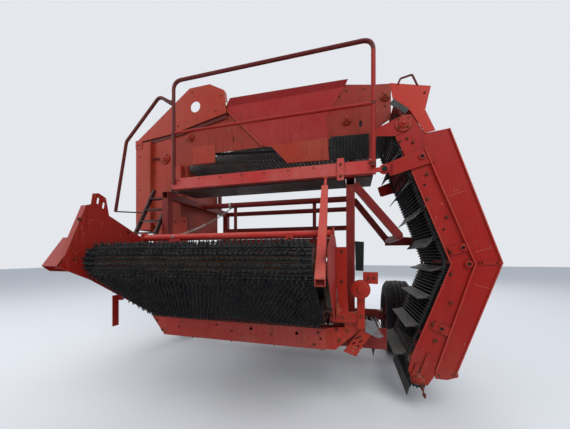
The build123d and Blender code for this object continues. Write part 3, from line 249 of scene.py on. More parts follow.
# %% Rubber and steel
def rubber(name, tint, dust, rough):
    """Dusty rubber with rubbed edges."""
    bench = Bench(name)
    blotch = bench.noise(14.0, 5.0, 0.6)
    grain = bench.noise(220.0, 2.0)
    up = bench.facing(2).ramp(0.1, 0.9)
    dusty = (blotch.ramp(0.4, 0.7) * 0.6 + up * 0.5) * dust
    rub = bench.edges(0.004) * blotch.ramp(0.35, 0.6)
    color = bench.mix(dusty.least(1.0), tint, tuple(0.5 * c for c in DUST))
    color = bench.mix(rub * 0.5, color, (0.16, 0.155, 0.15))
    return bench.finish(color, (rough + dusty * 0.2).least(0.95), 0.0, grain * 0.4 + blotch * 0.4, 0.0008)


def steel(name, tint, rust, shine):
    """Bare metal that rusts in blotches and in its hollows."""
    bench = Bench(name)
    blotch = bench.noise(11.0, 6.0, 0.65)
    grain = bench.noise(180.0, 3.0)
    rusty = (blotch.ramp(0.62 - 0.3 * rust, 0.72) + bench.corners(0.03).ramp(0.3, 0.8) * rust).least(1.0)
    color = bench.mix(rusty, tint, bench.mix(grain, RUST_DARK, RUST_ORANGE))
    return bench.finish(color, 0.35 + rusty * 0.45, (1.0 - rusty) * shine, grain * 0.5 + rusty * 0.5, 0.0008)


# name: tint, chalk, fade, rust, grime
PAINTS = {
    "frame_red": ((0.17, 0.009, 0.008), (0.21, 0.036, 0.027), 0.55, 0.7, 0.7),
    "cheek_red": ((0.288, 0.010, 0.0065), (0.315, 0.040, 0.0248), 0.4, 0.4, 0.6),
    "tube_red": ((0.5, 0.030, 0.024), (0.54, 0.11, 0.088), 0.6, 0.6, 0.4),
    "beam_red": ((0.384, 0.025, 0.0175), (0.435, 0.099, 0.077), 0.7, 0.8, 0.5),
    "platform_red": ((0.464, 0.03, 0.025), (0.495, 0.121, 0.105), 0.8, 0.5, 0.3),
    "corner_orange": ((0.35, 0.015, 0.006), (0.365, 0.052, 0.030), 0.5, 0.6, 0.5),
    "elevator_red": ((0.31, 0.008, 0.005), (0.33, 0.028, 0.016), 0.5, 0.5, 0.5),
    "hood_red": ((0.432, 0.0225, 0.01), (0.45, 0.0715, 0.044), 0.5, 0.4, 0.4),
    "hopper_red": ((0.31, 0.015, 0.016), (0.35, 0.058, 0.04), 0.55, 0.5, 0.5),
    "table_brown": ((0.26, 0.020, 0.009), (0.28, 0.056, 0.034), 0.6, 0.75, 0.6),
    "tower_brown": ((0.336, 0.0275, 0.012), (0.36, 0.0825, 0.0495), 0.6, 0.7, 0.5),
    "rail_dark": ((0.096, 0.009, 0.008), (0.18, 0.033, 0.0275), 0.5, 0.7, 0.5),
    "ladder_dark": ((0.028, 0.014, 0.014), (0.0675, 0.033, 0.0303), 0.5, 0.5, 0.5),
    "rim_red": ((0.336, 0.0175, 0.0125), (0.36, 0.066, 0.0495), 0.5, 0.6, 0.7),
}
# name: tint, rust, shine
STEELS = {
    "gearbox_grey": ((0.18, 0.18, 0.18), 0.5, 0.3),
    "roller_steel": ((0.10, 0.095, 0.09), 0.6, 0.5),
    "bare_steel": ((0.42, 0.40, 0.37), 0.6, 0.8),
    "chrome_rod": ((0.60, 0.60, 0.60), 0.1, 1.0),
    "jack_zinc": ((0.55, 0.55, 0.55), 0.3, 0.9),
}
# name: tint, dust, roughness
RUBBERS = {
    "web_rubber": ((0.009, 0.010, 0.011), 0.10, 0.7),
    "flight_rubber": ((0.05, 0.05, 0.052), 0.35, 0.7),
    "finger_rubber": ((0.007, 0.008, 0.009), 0.10, 0.6),
    "tyre_black": ((0.010, 0.010, 0.013), 0.12, 0.7),
}
FINISHES = {}
for make, table in ((painted, PAINTS), (steel, STEELS), (rubber, RUBBERS)):
    for name, settings in table.items():
        FINISHES[name] = make(name, *settings)

for entry in frame["record"]["subparts"]:
    mesh = frame["nodes"][entry["node"]].data
    mesh.materials.clear()
    mesh.materials.append(FINISHES[entry["material_slot"]])
print("finishes", len(FINISHES))

# %% [markdown]
# ## A small forge
#
# The added pieces are built from a few kinds of solid: a slab with an outline, a block, a turned profile, a
# tube along a path, a ring of sections, and a bolt. `Forge` collects such solids, in millimetres, and hands
# them over as one piece that rides on a body of the machine.


# %% Forge
def spot(axis, along, a, b):
    """A point from its place along an axis and its two other coordinates, in X, Y, Z order."""
    point = [a, b]
    point.insert("XYZ".index(axis), along)
    return Vector(point)


def angles(sides):
    """Equal turns round a circle."""
    return [2 * pi * k / sides for k in range(sides)]


CORNERS = ((-1, -1), (1, -1), (1, 1), (-1, 1))


class Forge:
    """Solids gathered into one piece."""

    def __init__(self):
        self.mesh = bmesh.new()

    def skin(self, rings, loop=False):
        """Faces between rings of equally many points; an open row of rings is capped."""
        rows = [[self.mesh.verts.new(point) for point in ring] for ring in rings]
        pairs = list(zip(rows, rows[1:]))
        if loop:
            pairs.append((rows[-1], rows[0]))
        else:
            self.mesh.faces.new(rows[0])
            self.mesh.faces.new(rows[-1][::-1])
        for first, second in pairs:
            for k in range(len(first)):
                self.mesh.faces.new((first[k], first[k - 1], second[k - 1], second[k]))

    def slab(self, axis, at, thickness, outline):
        """A flat piece with an outline, from at along the axis."""
        self.skin([[spot(axis, place, *point) for point in outline] for place in (at, at + thickness)])

    def block(self, low, high):
        """A box between two corners."""
        corners = [(low[0], low[1]), (high[0], low[1]), (high[0], high[1]), (low[0], high[1])]
        self.slab("Z", low[2], high[2] - low[2], corners)

    def turned(self, axis, centre, profile, sides=32, loop=False, notch=0):
        """A profile of (along, radius) turned about an axis; a third value cuts in at every notch-th side."""
        rings = []
        for along, radius, *cut in profile:
            ring = []
            for k, angle in enumerate(angles(sides)):
                reach = radius - (cut[0] if cut and k % notch == 0 else 0)
                ring.append(spot(axis, along, centre[0] + reach * cos(angle), centre[1] + reach * sin(angle)))
            rings.append(ring)
        self.skin(rings, loop)

    def tube(self, points, radius, sides=12, tip=None):
        """A round bar along points, down to another radius at its tip."""
        points = [Vector(point) for point in points]
        side = None
        rings = []
        for n, point in enumerate(points):
            ahead = points[min(n + 1, len(points) - 1)] - points[max(n - 1, 0)]
            if side is None:
                side = ahead.orthogonal()
            side = (side - ahead * (side.dot(ahead) / ahead.dot(ahead))).normalized()
            other = ahead.normalized().cross(side)
            size = radius if tip is None else radius + (tip - radius) * n / (len(points) - 1)
            rings.append([point + size * (side * cos(t) + other * sin(t)) for t in angles(sides)])
        self.skin(rings)

    def bolt(self, place, out, size=10):
        """A washer, a hexagon nut and the end of its thread on a face that looks along out."""
        place, out = Vector(place), Vector(out).normalized()
        across = out.orthogonal().normalized()
        other = out.cross(across)
        for low, high, reach, sides in ((-1, 0.25, 1.3, 12), (0.2, 1.0, 1.0, 6), (0.9, 1.35, 0.5, 8)):
            rim = [size * reach * (across * cos(t) + other * sin(t)) for t in angles(sides)]
            self.skin([[place + out * size * level + point for point in rim] for level in (low, high)])

    def piece(self, name, finish, body="chassis", nodes=(), smooth=30):
        """Hand the solids over as one object."""
        bmesh.ops.scale(self.mesh, vec=(0.001, 0.001, 0.001), verts=self.mesh.verts)
        bmesh.ops.recalc_face_normals(self.mesh, faces=self.mesh.faces)
        data = bpy.data.meshes.new(name)
        self.mesh.to_mesh(data)
        self.mesh.free()
        data.shade_smooth()
        data.set_sharp_from_angle(angle=radians(smooth))
        data.materials.append(FINISHES[finish])
        thing = bpy.data.objects.new(name, data)
        scene.collection.objects.link(thing)
        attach(thing, body)
        if nodes:
            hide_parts(*nodes)
        print(f"{name}: {len(data.polygons)} faces")


def bent(points, radius, steps=8):
    """The corners of a path rounded with arcs."""
    points = [Vector(point) for point in points]
    path = [points[0]]
    for before, corner, after in zip(points, points[1:], points[2:]):
        arrive, leave = (before - corner).normalized(), (after - corner).normalized()
        cut = radius / max(0.05, ((1 + arrive.dot(leave)) / (1 - arrive.dot(leave))) ** -0.5)
        cut = min(cut, 0.45 * (before - corner).length, 0.45 * (after - corner).length)
        for k in range(steps + 1):
            share = k / steps
            start, end = corner + arrive * cut, corner + leave * cut
            path.append(start.lerp(corner, share).lerp(corner.lerp(end, share), share))
    return [*path, points[-1]]


# %% [markdown]
# ## Rod webs
#
# Every conveyor of the machine is a rod web: round steel rods riveted to rubber belts that run round drums. A
# belt's line is straight between two drums and an arc round each; a guide wheel outside the line bends it the
# other way. `Line` walks along that closed line at any distance from it.


# %% Line
class Line:
    """A belt's closed, clockwise line round rollers (x, y, radius); a negative radius bends it outwards."""

    def __init__(self, *rollers):
        self.rollers = rollers

    def heading(self, n):
        x1, y1, r1 = self.rollers[n % len(self.rollers)]
        x2, y2, r2 = self.rollers[(n + 1) % len(self.rollers)]
        return atan2(y2 - y1, x2 - x1) + asin((r2 - r1) / hypot(x2 - x1, y2 - y1))

    def point(self, n, heading, out):
        x, y, radius = self.rollers[n]
        return (x - (radius + out) * sin(heading), y + (radius + out) * cos(heading))

    def arcs(self):
        for n, (_, _, radius) in enumerate(self.rollers):
            arrive, leave = self.heading(n - 1), self.heading(n)
            sign = -1 if radius > 0 else 1
            yield n, arrive, sign * ((sign * (leave - arrive)) % (2 * pi))

    def walk(self, out, step=0.2):
        """(x, y) along the line, with short steps in its bends."""
        path = []
        for n, arrive, turn in self.arcs():
            count = max(2, round(abs(turn) / step))
            path += [self.point(n, arrive + turn * k / count, out) for k in range(count + 1)]
        return path

    def stations(self, pitch, out=0):
        """Evenly spaced (x, y, heading) along the line."""
        legs = []
        for n, arrive, turn in self.arcs():
            legs.append((abs(turn) * abs(self.rollers[n][2] + out), n, arrive, turn))
            start = Vector(self.point(n, arrive + turn, out))
            end = Vector(self.point((n + 1) % len(self.rollers), arrive + turn, out))
            legs.append(((end - start).length, start, end, arrive + turn))
        total = sum(leg[0] for leg in legs)
        count = round(total / pitch)
        places = []
        for k in range(count):
            travelled = k * total / count
            for length, first, second, third in legs:
                if travelled <= length:
                    break
                travelled -= length
            share = travelled / length
            if isinstance(first, int):
                heading = second + share * third
                places.append((*self.point(first, heading, out), heading))
            else:
                places.append((*first.lerp(second, share), third))
        return places


# %% [markdown]
# ## Places on the machine
#
# These places are shared by several pieces below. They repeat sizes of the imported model.

# %% Places, in millimetres
# roller centres: (y, z) for the webs of the bed, (x, z) for the others
WEB_REAR, WEB_FRONT = (-2000, 1075), (1400, 200)
FINGER_TOP, FINGER_LOW = (-2728, 1164), (-2239, 816)
CROSS_LEFT, CROSS_RIGHT = (-880, 548), (955, 548)
TABLE_LEFT, TABLE_RIGHT = (-1380, 2350), (850, 2215)
ELEV_FOOT, ELEV_HEAD = (1252, 256), (1139, 2233)
# where each web starts, and how wide it is
WEB_LEFT, WEB_WIDTH = -916, 1480
ELEV_Y, ELEV_WIDTH = -1896, 688
CROSS_Y, CROSS_WIDTH = -2028, 670
TABLE_Y, TABLE_WIDTH = -1520, 700
# outer faces of the cheeks beside the bed
CHEEK_LEFT, CHEEK_RIGHT, FINGER_RIGHT = -958, 606, 642
# faces that look to the rear: rear tube's brackets, corner plates, rear beam, platform's edge beam
BRACKET_FACE, CORNER_FACE, BEAM_FACE, EDGE_FACE = -2330, -2134, -2104, -1946
# faces that look to the rear: tower's lower plate, hood, post and panel, then both plates of the table
TOWER_BRACKET, HOOD_FACE, TOWER_REAR, PANEL_FACE = -1614, -1574, -1568, -1554
TABLE_REAR, TABLE_FRONT = -1546, -800
# outer faces of the elevator's side plates, and of the bands that lie on the rear one
PLATE = 6
ELEV_REAR, ELEV_FRONT = -1910, -1194
ELEV_FACE = ELEV_REAR - PLATE
# (y, z) of the rear and the upper cross tube
REAR_TUBE, UPPER_TUBE = (-2298, 1352), (-1224, 1824)
# middle of the bed, axle and wheels
WEB_MID, AXLE_Y, TYRE_R, TRACK_HALF = -176, -605, 444.5, 1465

# %% Webs
BELT, BELT_WIDTH, ROD_R = 8, 60, 5.5
ROD_LINE = BELT / 2 + ROD_R
THREE_BELTS = (0, WEB_WIDTH / 2 - BELT_WIDTH / 2, WEB_WIDTH - BELT_WIDTH)
RIVETS = (15, 45)


def web(name, axis, line, start, length, pitch, belts, finish):
    """Round rods riveted to belts; each number in belts is how far a belt's edge lies from start."""
    rubber_belts, rods = Forge(), Forge()
    inner, outer = line.walk(-BELT / 2), line.walk(BELT / 2)
    for offset in belts:
        low, high = start + offset, start + offset + BELT_WIDTH
        sections = [
            [spot(axis, low, *a), spot(axis, low, *b), spot(axis, high, *b), spot(axis, high, *a)]
            for a, b in zip(inner, outer)
        ]
        rubber_belts.skin(sections, loop=True)
    for x, y, heading in line.stations(pitch, ROD_LINE):
        rods.tube([spot(axis, start, x, y), spot(axis, start + length, x, y)], ROD_R, 8)
        for offset in belts:
            for inset in RIVETS:
                x2, y2 = x - 4 * sin(heading), y + 4 * cos(heading)
                head = [spot(axis, start + offset + inset, x, y), spot(axis, start + offset + inset, x2, y2)]
                rods.tube(head, 5, 6, 3)
    rubber_belts.piece(f"{name}_belts", "web_rubber", nodes=(name,))
    rods.piece(f"{name}_rods", finish)


def flap(forge, axis, low, high, place, reach, thick, lean):
    """A flight that leans out from a place on a line, thinner towards its tip."""
    x, y, heading = place
    angle = heading + pi / 2 + lean
    out = Vector((cos(angle), sin(angle)))
    side = Vector((-out.y, out.x))
    half, narrow = side * thick / 2, side * thick / 3
    foot = Vector((x, y))
    tip = foot + out * reach
    forge.slab(axis, low, high - low, [foot - half, tip - narrow, tip + narrow, foot + half])


main_line = Line((*WEB_REAR, 70), (*WEB_FRONT, 70))
finger_line = Line((*FINGER_TOP, 88), (*FINGER_LOW, 88))
cross_line = Line((*CROSS_LEFT, 40), (*CROSS_RIGHT, 40))
table_line = Line((*TABLE_LEFT, 50), (*TABLE_RIGHT, 50))
elevator_line = Line(
    (*ELEV_FOOT, 70), (1229, 396, 60), (1285, 1141, -150), (*ELEV_HEAD, 85), (1482, 1142, 150)
)
ROD_PITCH, FINGER_PITCH, ELEV_PITCH = 42, 28, 27

web("main_web", "X", main_line, WEB_LEFT, WEB_WIDTH, ROD_PITCH, THREE_BELTS, "roller_steel")
web("finger_web", "X", finger_line, WEB_LEFT, WEB_WIDTH, FINGER_PITCH, THREE_BELTS[::2], "web_rubber")
for name, line, start, length, pitch, finish in (
    ("cross_web", cross_line, CROSS_Y, CROSS_WIDTH, ROD_PITCH, "roller_steel"),
    ("table_web", table_line, TABLE_Y, TABLE_WIDTH, ROD_PITCH, "roller_steel"),
    ("elevator_web", elevator_line, ELEV_Y, ELEV_WIDTH, ELEV_PITCH, "web_rubber"),
):
    web(name, "Y", line, start, length, pitch, (0, length - BELT_WIDTH), finish)

# %% [markdown]
# ## Rubber fingers and flights
#
# The finger web's rods wear rubber sleeves with soft fingers. The fingers are staggered from rod to rod, and
# none stands quite straight. Flights stop the crop from rolling back: they are thick at the foot, and on the
# steep elevator they lean.

# %% Fingers and flights
FINGER_COLUMNS, FINGER_STEP = 48, 30
SLEEVE_INSET = 62
fingers = Forge()
chance = random.Random(7)
for row, (y, z, heading) in enumerate(finger_line.stations(FINGER_PITCH, ROD_LINE)):
    fingers.tube([(WEB_LEFT + SLEEVE_INSET, y, z), (WEB_LEFT + WEB_WIDTH - SLEEVE_INSET, y, z)], 8.5, 8)
    for column in range(FINGER_COLUMNS):
        x = WEB_LEFT + 22 + column * FINGER_STEP + FINGER_STEP // 2 * (row % 2)
        lean = heading + pi / 2 + chance.uniform(-0.15, 0.15)
        out = Vector((0.12 * chance.uniform(-1, 1), cos(lean), sin(lean)))
        base = Vector((x, y, z))
        fingers.tube([base, base + out * 18, base + out * chance.uniform(30, 38)], 7.5, 5, 3.5)
fingers.piece("finger_rows", "finger_rubber")

flights = Forge()
for line, low, high, pitch, first, every, reach, lean in (
    (elevator_line, ELEV_Y + 5, ELEV_Y + ELEV_WIDTH - 5, 80, 2, 3, 95, radians(30)),
    (cross_line, CROSS_Y + 5, CROSS_Y + CROSS_WIDTH - 5, 100, 2, 4, 60, 0.0),
):
    for place in line.stations(pitch, ROD_LINE)[first::every]:
        flap(flights, "Y", low, high, place, reach, 10, lean)
        flap(flights, "Y", low, high, place, 26, 22, lean)
flights.piece("rubber_flights", "flight_rubber")

# %% [markdown]
# ## Wheels
#
# The tyres are implement tyres: five ribs run round the tread, with notched shoulders and a bead of rubber
# beside the rim. The rims are pressed steel with a dished disc, a hub and a ring of wheel nuts.

# %% Tyres and rims
RIB_PITCH, RIB_CROWN, SHOULDER_NOTCH = 48, 3.0, 7
NUT_CIRCLE = 84
# (along, drop below the rib's top)
RIB = [(-21, 13), (-17, 2), (-14, 0), (14, 0), (17, 2), (21, 13)]
# (along from the wheel's middle, radius)
TYRE_WALL = [(117, 426), (128, 415), (143, 390), (150, 350), (149, 310), (142, 270), (132, 245), (127, 247),
             (120, 232), (112, 220), (100, 209)]
RIM = [(-105, 219), (-105, 208), (-80, 204), (-40, 190), (40, 190), (80, 204), (105, 208), (105, 219)]
DISH = [(20, 186), (38, 150), (52, 110), (52, 60), (46, 60), (46, 108), (32, 148), (14, 186)]
HUB = [(-50, 38), (-50, 60), (60, 60), (76, 52), (104, 50), (110, 42), (110, 0.5)]
for name, side in (("left", -1), ("right", 1)):
    middle = WEB_MID + side * TRACK_HALF
    tread = []
    for rib in (-2, -1, 0, 1, 2):
        top = TYRE_R - RIB_CROWN * abs(rib)
        cut = SHOULDER_NOTCH if abs(rib) == 2 else 0
        for along, drop in RIB:
            tread.append((middle + rib * RIB_PITCH + along, top - drop, cut if drop < 10 else 0))
    right = [(middle + x, radius, 0) for x, radius in TYRE_WALL]
    left = [(middle - x, radius, 0) for x, radius in reversed(TYRE_WALL)]
    rubber_ring = Forge()
    rubber_ring.turned("X", (AXLE_Y, TYRE_R), [*left, *tread, *right], 120, True, 3)
    rubber_ring.piece(f"tyre_{name}_ribbed", "tyre_black", f"wheel_{name}", (f"tyre_{name}",), 25)
    disc = Forge()
    inside = [(x, radius - 8) for x, radius in reversed(RIM)]
    disc.turned("X", (AXLE_Y, TYRE_R), [(middle + x, radius) for x, radius in [*RIM, *inside]], 64, True)
    disc.turned("X", (AXLE_Y, TYRE_R), [(middle + side * x, radius) for x, radius in DISH], 48, True)
    disc.turned("X", (AXLE_Y, TYRE_R), [(middle + side * x, radius) for x, radius in HUB], 32)
    disc.piece(f"rim_{name}_pressed", "rim_red", f"wheel_{name}", (f"rim_{name}",), 35)
    nuts = Forge()
    for turn in angles(6):
        y, z = AXLE_Y + NUT_CIRCLE * cos(turn), TYRE_R + NUT_CIRCLE * sin(turn)
        nuts.bolt((middle + side * 52, y, z), (side, 0, 0), 13)
    valve = [(middle + side * 30, AXLE_Y, TYRE_R + 170), (middle + side * 70, AXLE_Y, TYRE_R + 176)]
    nuts.tube(valve, 4, 8)
    nuts.piece(f"wheel_nuts_{name}", "roller_steel", f"wheel_{name}")

# %% [markdown]
# ## Rails, tubes and handles
#
# Bent tubes are round here. The handrail has a collar near each foot and at each end of its mid rail. Its mid
# rail and its right post are brighter than its bow. The rear cross tube ends in a round flange on each side.

# %% Handrail, ladder rail, cross tube and handles
RAIL_Y = EDGE_FACE - 20
RAIL_LEFT, RAIL_RIGHT = -930, 915
RAIL_FOOT, RAIL_MID, RAIL_TOP = 1903, 2400, 2905
rails = Forge()
corners = [(RAIL_LEFT, RAIL_Y, RAIL_FOOT), (RAIL_LEFT, RAIL_Y, RAIL_TOP), (RAIL_RIGHT, RAIL_Y, RAIL_TOP),
           (RAIL_RIGHT, RAIL_Y, RAIL_FOOT)]
rails.tube(bent(corners, 90, 12), 17, 20)
for x in (RAIL_LEFT, RAIL_RIGHT):
    for z in (RAIL_FOOT + 22, RAIL_MID):
        rails.tube([(x, RAIL_Y, z - 12), (x, RAIL_Y, z + 12)], 20, 20)
rails.piece("handrail_tubes", "rail_dark", nodes=("handrail",), smooth=50)
bright_rails = Forge()
bright_rails.tube([(RAIL_LEFT, RAIL_Y, RAIL_MID), (RAIL_RIGHT, RAIL_Y, RAIL_MID)], 13, 14)
bright_rails.tube([(RAIL_RIGHT, RAIL_Y, RAIL_FOOT), (RAIL_RIGHT, RAIL_Y, RAIL_TOP - 90)], 17.8, 20)
bright_rails.piece("handrail_red_tubes", "cheek_red", smooth=50)

grab = Forge()
corners = [(-1651, RAIL_Y, 1664), (-1506, RAIL_Y, 2385), (-1095, RAIL_Y, 2785), (-955, RAIL_Y, 2702)]
grab.tube(bent(corners, 60, 8), 15.5, 14)
grab.block((-962, RAIL_Y - 18, 2680), (-940, RAIL_Y + 18, 2716))
grab.piece("grab_tube", "rail_dark", smooth=50)

cross = Forge()
cross_left, cross_right = CHEEK_LEFT + PLATE, FINGER_RIGHT - PLATE
cross.tube([(cross_left, *REAR_TUBE), (cross_right, *REAR_TUBE)], 27, 28)
for x, inwards in ((cross_left, 9), (cross_right, -9)):
    cross.tube([(x, *REAR_TUBE), (x + inwards, *REAR_TUBE)], 44, 24)
cross.piece("cross_tube_round", "tube_red", smooth=50)

CAP = (814, 960)
cap = Forge()
cap.turned("Y", CAP, [(-2182, 1), (-2182, 60), (-2178, 66), (CORNER_FACE, 68), (CORNER_FACE, 1)], 40)
cap.turned("Y", CAP, [(-2192, 1), (-2192, 22), (-2182, 26), (-2181, 1)], 20)
cap.piece("end_cap", "corner_orange", smooth=40)

handle = Forge()
y = ELEV_REAR - 4
corners = [(1100, y, 2545), (1120, y, 2590), (1203, y, 2605), (1240, y, 2515)]
handle.tube(bent(corners, 14, 6), 7.6, 12)
handle.piece("hood_handle", "rail_dark", smooth=50)

# %% [markdown]
# ## Bearings and bolts
#
# Each shaft ends in a flanged bearing: a housing with a turned nose, a grease nipple, four bolts and the
# shaft's end. Bolts and nuts also hold the straps, brackets and plates.

# %% Bearings
# axis, face, side that it looks to, centre, size
BEARINGS = [
    ("X", CHEEK_RIGHT, 1, WEB_FRONT, 48),
    ("X", CHEEK_LEFT, -1, WEB_FRONT, 48),
    ("X", FINGER_RIGHT, 1, FINGER_LOW, 48),
    ("X", FINGER_RIGHT, 1, WEB_REAR, 48),
    ("X", CHEEK_LEFT, -1, FINGER_TOP, 48),
    ("X", CHEEK_LEFT, -1, FINGER_LOW, 48),
    ("X", CHEEK_LEFT, -1, WEB_REAR, 48),
    ("Y", ELEV_REAR, -1, ELEV_HEAD, 48),
    ("Y", ELEV_REAR, -1, ELEV_FOOT, 34),
    ("Y", ELEV_FRONT, 1, ELEV_HEAD, 48),
    ("Y", ELEV_FRONT, 1, ELEV_FOOT, 34),
    ("Y", TABLE_REAR, -1, (706, 2511), 34),
    ("Y", TABLE_REAR, -1, (1053, 2689), 34),
    ("Y", TABLE_REAR, -1, (-1041, 2561), 34),
    ("Y", TABLE_REAR, -1, TABLE_RIGHT, 34),
    ("Y", PANEL_FACE, -1, TABLE_LEFT, 48),
]
housings, fasteners = Forge(), Forge()
for axis, at, side, (x, y), size in BEARINGS:
    out = spot(axis, side, 0, 0)
    flange = [(8, 1), (8, 1.28 * size), (13, 1.28 * size), (16, 1.2 * size), (16, 0.9 * size)]
    nose = [*flange, (24, 0.84 * size), (30, 0.7 * size), (31, 0.55 * size), (26, 0.5 * size), (26, 1)]
    housings.turned(axis, (x, y), [(at + side * along, radius) for along, radius in nose], 28)
    housings.turned(axis, (x, y), [(at + side * along, 0.3 * size) for along in (30, 44)], 16)
    nipple = [spot(axis, at + side * 18, x + s, y + s) for s in (0.5 * size, 0.66 * size)]
    housings.tube(nipple, 4, 8, 2.5)
    reach = 0.68 * size
    for dx, dy in CORNERS:
        fasteners.bolt(spot(axis, at + side * 16, x + dx * reach, y + dy * reach), out, 7)
housings.piece("bearing_housings", "tower_brown")

# %% Bolts on plates, straps and brackets
BACKWARDS, LEFT, RIGHT, UP, DOWN = (0, -1, 0), (-1, 0, 0), (1, 0, 0), (0, 0, 1), (0, 0, -1)
# plane, nut size, (x, z) of each bolt
REAR_BOLTS = [
    # rear cross tube's brackets, rear beam, corner plates and platform bracket
    (BRACKET_FACE, 9, [(-650, 1300), (-606, 1300), (328, 1325)]),
    (BRACKET_FACE, 6, [(328, 1305)]),
    (BEAM_FACE, 9, [(-1000, 606), (-940, 520), (500, 606), (470, 512), (812, 600)]),
    (BEAM_FACE, 7, [(-240, 560), (120, 560)]),
    (BEAM_FACE, 10, [(640, 640), (720, 640), (660, 560)]),
    (EDGE_FACE - 14, 9, [(663, 1850), (663, 1945)]),
    (CORNER_FACE, 10, [(617, 745), (690, 745)]),
    (CORNER_FACE, 9, [(817, 760), (817, 900)]),
    (CORNER_FACE - 6, 9, [(680, 1235), (680, 1010)]),
    (CORNER_FACE - 16, 8, [(868, 1042), (905, 1042)]),
    # elevator straps, side plate, head and hood
    (ELEV_FACE - 8, 9, [(1462, 1232), (1345, 684)]),
    (ELEV_FACE, 10, [(1306, 1826), (1306, 1635), (1440, 1492), (1467, 1066), (1467, 849), (1360, 556)]),
    (ELEV_FACE - 2, 7, [(1385, 300), (1480, 312)]),
    (ELEV_FACE, 8, [(1116, 2100), (1166, 2117), (1209, 2081), (1660, 1150), (1755, 1150)]),
    (ELEV_FACE, 7, [(1290, 2450)]),
    # table, hopper, tower and hood plates
    (TABLE_REAR, 7, [(-560, 2700), (-900, 2650), (-1300, 2560), (700, 2800), (860, 2790), (1050, 2600)]),
    (TABLE_REAR, 7, [(960, 2500), (820, 2230), (890, 2230)]),
    (PANEL_FACE, 7, [(-1525, 1700), (-1525, 1950), (-1525, 2200), (-1525, 2480)]),
    (PANEL_FACE, 7, [(-1300, 1700), (-1290, 2060)]),
    (TOWER_BRACKET, 8, [(-1200, 1590), (-1080, 1590), (-1200, 1350), (-1080, 1350)]),
    (HOOD_FACE, 7, [(-1760, 2540), (-1730, 2540), (-1190, 2700), (-700, 2800), (-640, 2960), (-1000, 3060)]),
    (TOWER_REAR, 7, [(-1740, 1600), (-1740, 2000), (-1740, 2400)]),
]
for plane, size, places in REAR_BOLTS:
    for x, z in places:
        fasteners.bolt((x, plane, z), BACKWARDS, size)
for x in range(-880, 900, 220):
    fasteners.bolt((x, EDGE_FACE, 1940), BACKWARDS, 6)
# left cheek, then the rear cross tube's flanges
for y, z in ((-2820, 1440), (-2460, 1390), (-2100, 1200), (-2100, 850), (-2330, 800), (-2850, 1180)):
    fasteners.bolt((CHEEK_LEFT + PLATE, y, z), RIGHT, 8)
    fasteners.bolt((CHEEK_LEFT, y, z), LEFT, 8)
for dy in (-22, 22):
    for dz in (-22, 22):
        fasteners.bolt((cross_left + 8, REAR_TUBE[0] + dy, REAR_TUBE[1] + dz), RIGHT, 7)
        fasteners.bolt((cross_right - 8, REAR_TUBE[0] + dy, REAR_TUBE[1] + dz), LEFT, 7)
# axle, its hangers and the gearbox
for side in (-1, 1):
    for dy in (-55, 55):
        fasteners.bolt((WEB_MID + side * 1288, AXLE_Y + dy, 389), DOWN, 9)
for x in (-1008, 656):
    for dy in (-60, 60):
        fasteners.bolt((x + 5, AXLE_Y + dy, 660), RIGHT, 12)
        fasteners.bolt((x - 5, AXLE_Y + dy, 660), LEFT, 12)
for x in (-320, -270, -82, -32):
    fasteners.bolt((x, 1320, 936), UP, 9)
fasteners.piece("bolts_and_nuts", "rail_dark")

# %% [markdown]
# ## Guards, a curtain and slats
#
# A rubber guard closes the gap beside the elevator's head. A curtain with upright rods hangs below the right
# end of the table, and a smaller dark one hangs lower down, over a grey scraper. Plain dark slats lie below
# the platform's edge beam.

# %% Guards, curtain, scraper and slats
guards = Forge()
guards.slab("Y", ELEV_FACE - 8, 6, [(1040, 2400), (1068, 2434), (1180, 2338), (1152, 2304)])
guards.piece("rubber_guards", "flight_rubber")

curtain = Forge()
curtain.slab("Y", -1862, 6, [(776, 1325), (850, 1318), (846, 1075), (782, 1078)])
curtain.slab("Y", -1596, 4, [(551, 2352), (905, 2338), (905, 2110), (583, 2110), (551, 2140)])
for k in range(11):
    curtain.tube([(598 + 29 * k, -1602, 2114), (598 + 29 * k, -1602, 2338)], 6, 8)
curtain.piece("rod_curtain", "web_rubber")

scraper = Forge()
scraper.slab("Y", -2112, 6, [(838, 735), (905, 722), (975, 618), (940, 602), (850, 640)])
scraper.piece("grey_scraper", "gearbox_grey")

slats = Forge()
for k in range(7):
    y = -1890 + 43 * k
    slats.block((-950, y, 1844), (700, y + 34, 1858))
    slats.block((780, y, 1844), (918, y + 34, 1858))
slats.piece("under_slats", "ladder_dark")

# %% [markdown]
# ## Elevator lips, straps and pin bosses
#
# The elevator's side plates are folded: narrow lips stand up along the seam and along both edges, and catch
# the light; they wear a brighter red than the plates as a painted highlight. Three straps cross each plate,
# each with a large pin hole; a dark disc in each pin hole is painted shade. A fourth hole sits at the elbow,
# beside a bar over the joint of the outer band. Two bars guide the take-up at the foot. A ring surrounds the
# pin that the elevator hangs on. Thin dark sheets inside the elevator and the table are painted shade.

# %% Elevator relief
# (x, z) from head to foot
OUTER = [(1458, 2154), (1789, 1150), (1497, 306)]
SEAM = [(1291, 2030), (1624, 1142), (1370, 332)]
INNER = [(1203, 1858), (1473, 1136), (1200, 410)]
# faces that the lips and straps stand on, and the way they look
SIDES = ((ELEV_FACE, -1), (ELEV_FRONT + PLATE, 1))
HANGER = (1000, 1886)
# outlines of the hanger's strap, the two lower straps and the bar over the joint
STRAPS = [
    [(1060, 1939), (1324, 2038), (1362, 1914), (1060, 1834)],
    [(1445, 1262), (1585, 1310), (1610, 1251), (1470, 1203)],
    [(1336, 646), (1450, 599), (1477, 658), (1363, 709)],
    [(1646, 1162), (1786, 1162), (1786, 1138), (1646, 1138)],
]
TAKE_UP_BARS = [
    [(1336, 444), (1306, 456), (1252, 300), (1284, 288)],
    [(1258, 362), (1230, 374), (1194, 284), (1222, 274)],
]
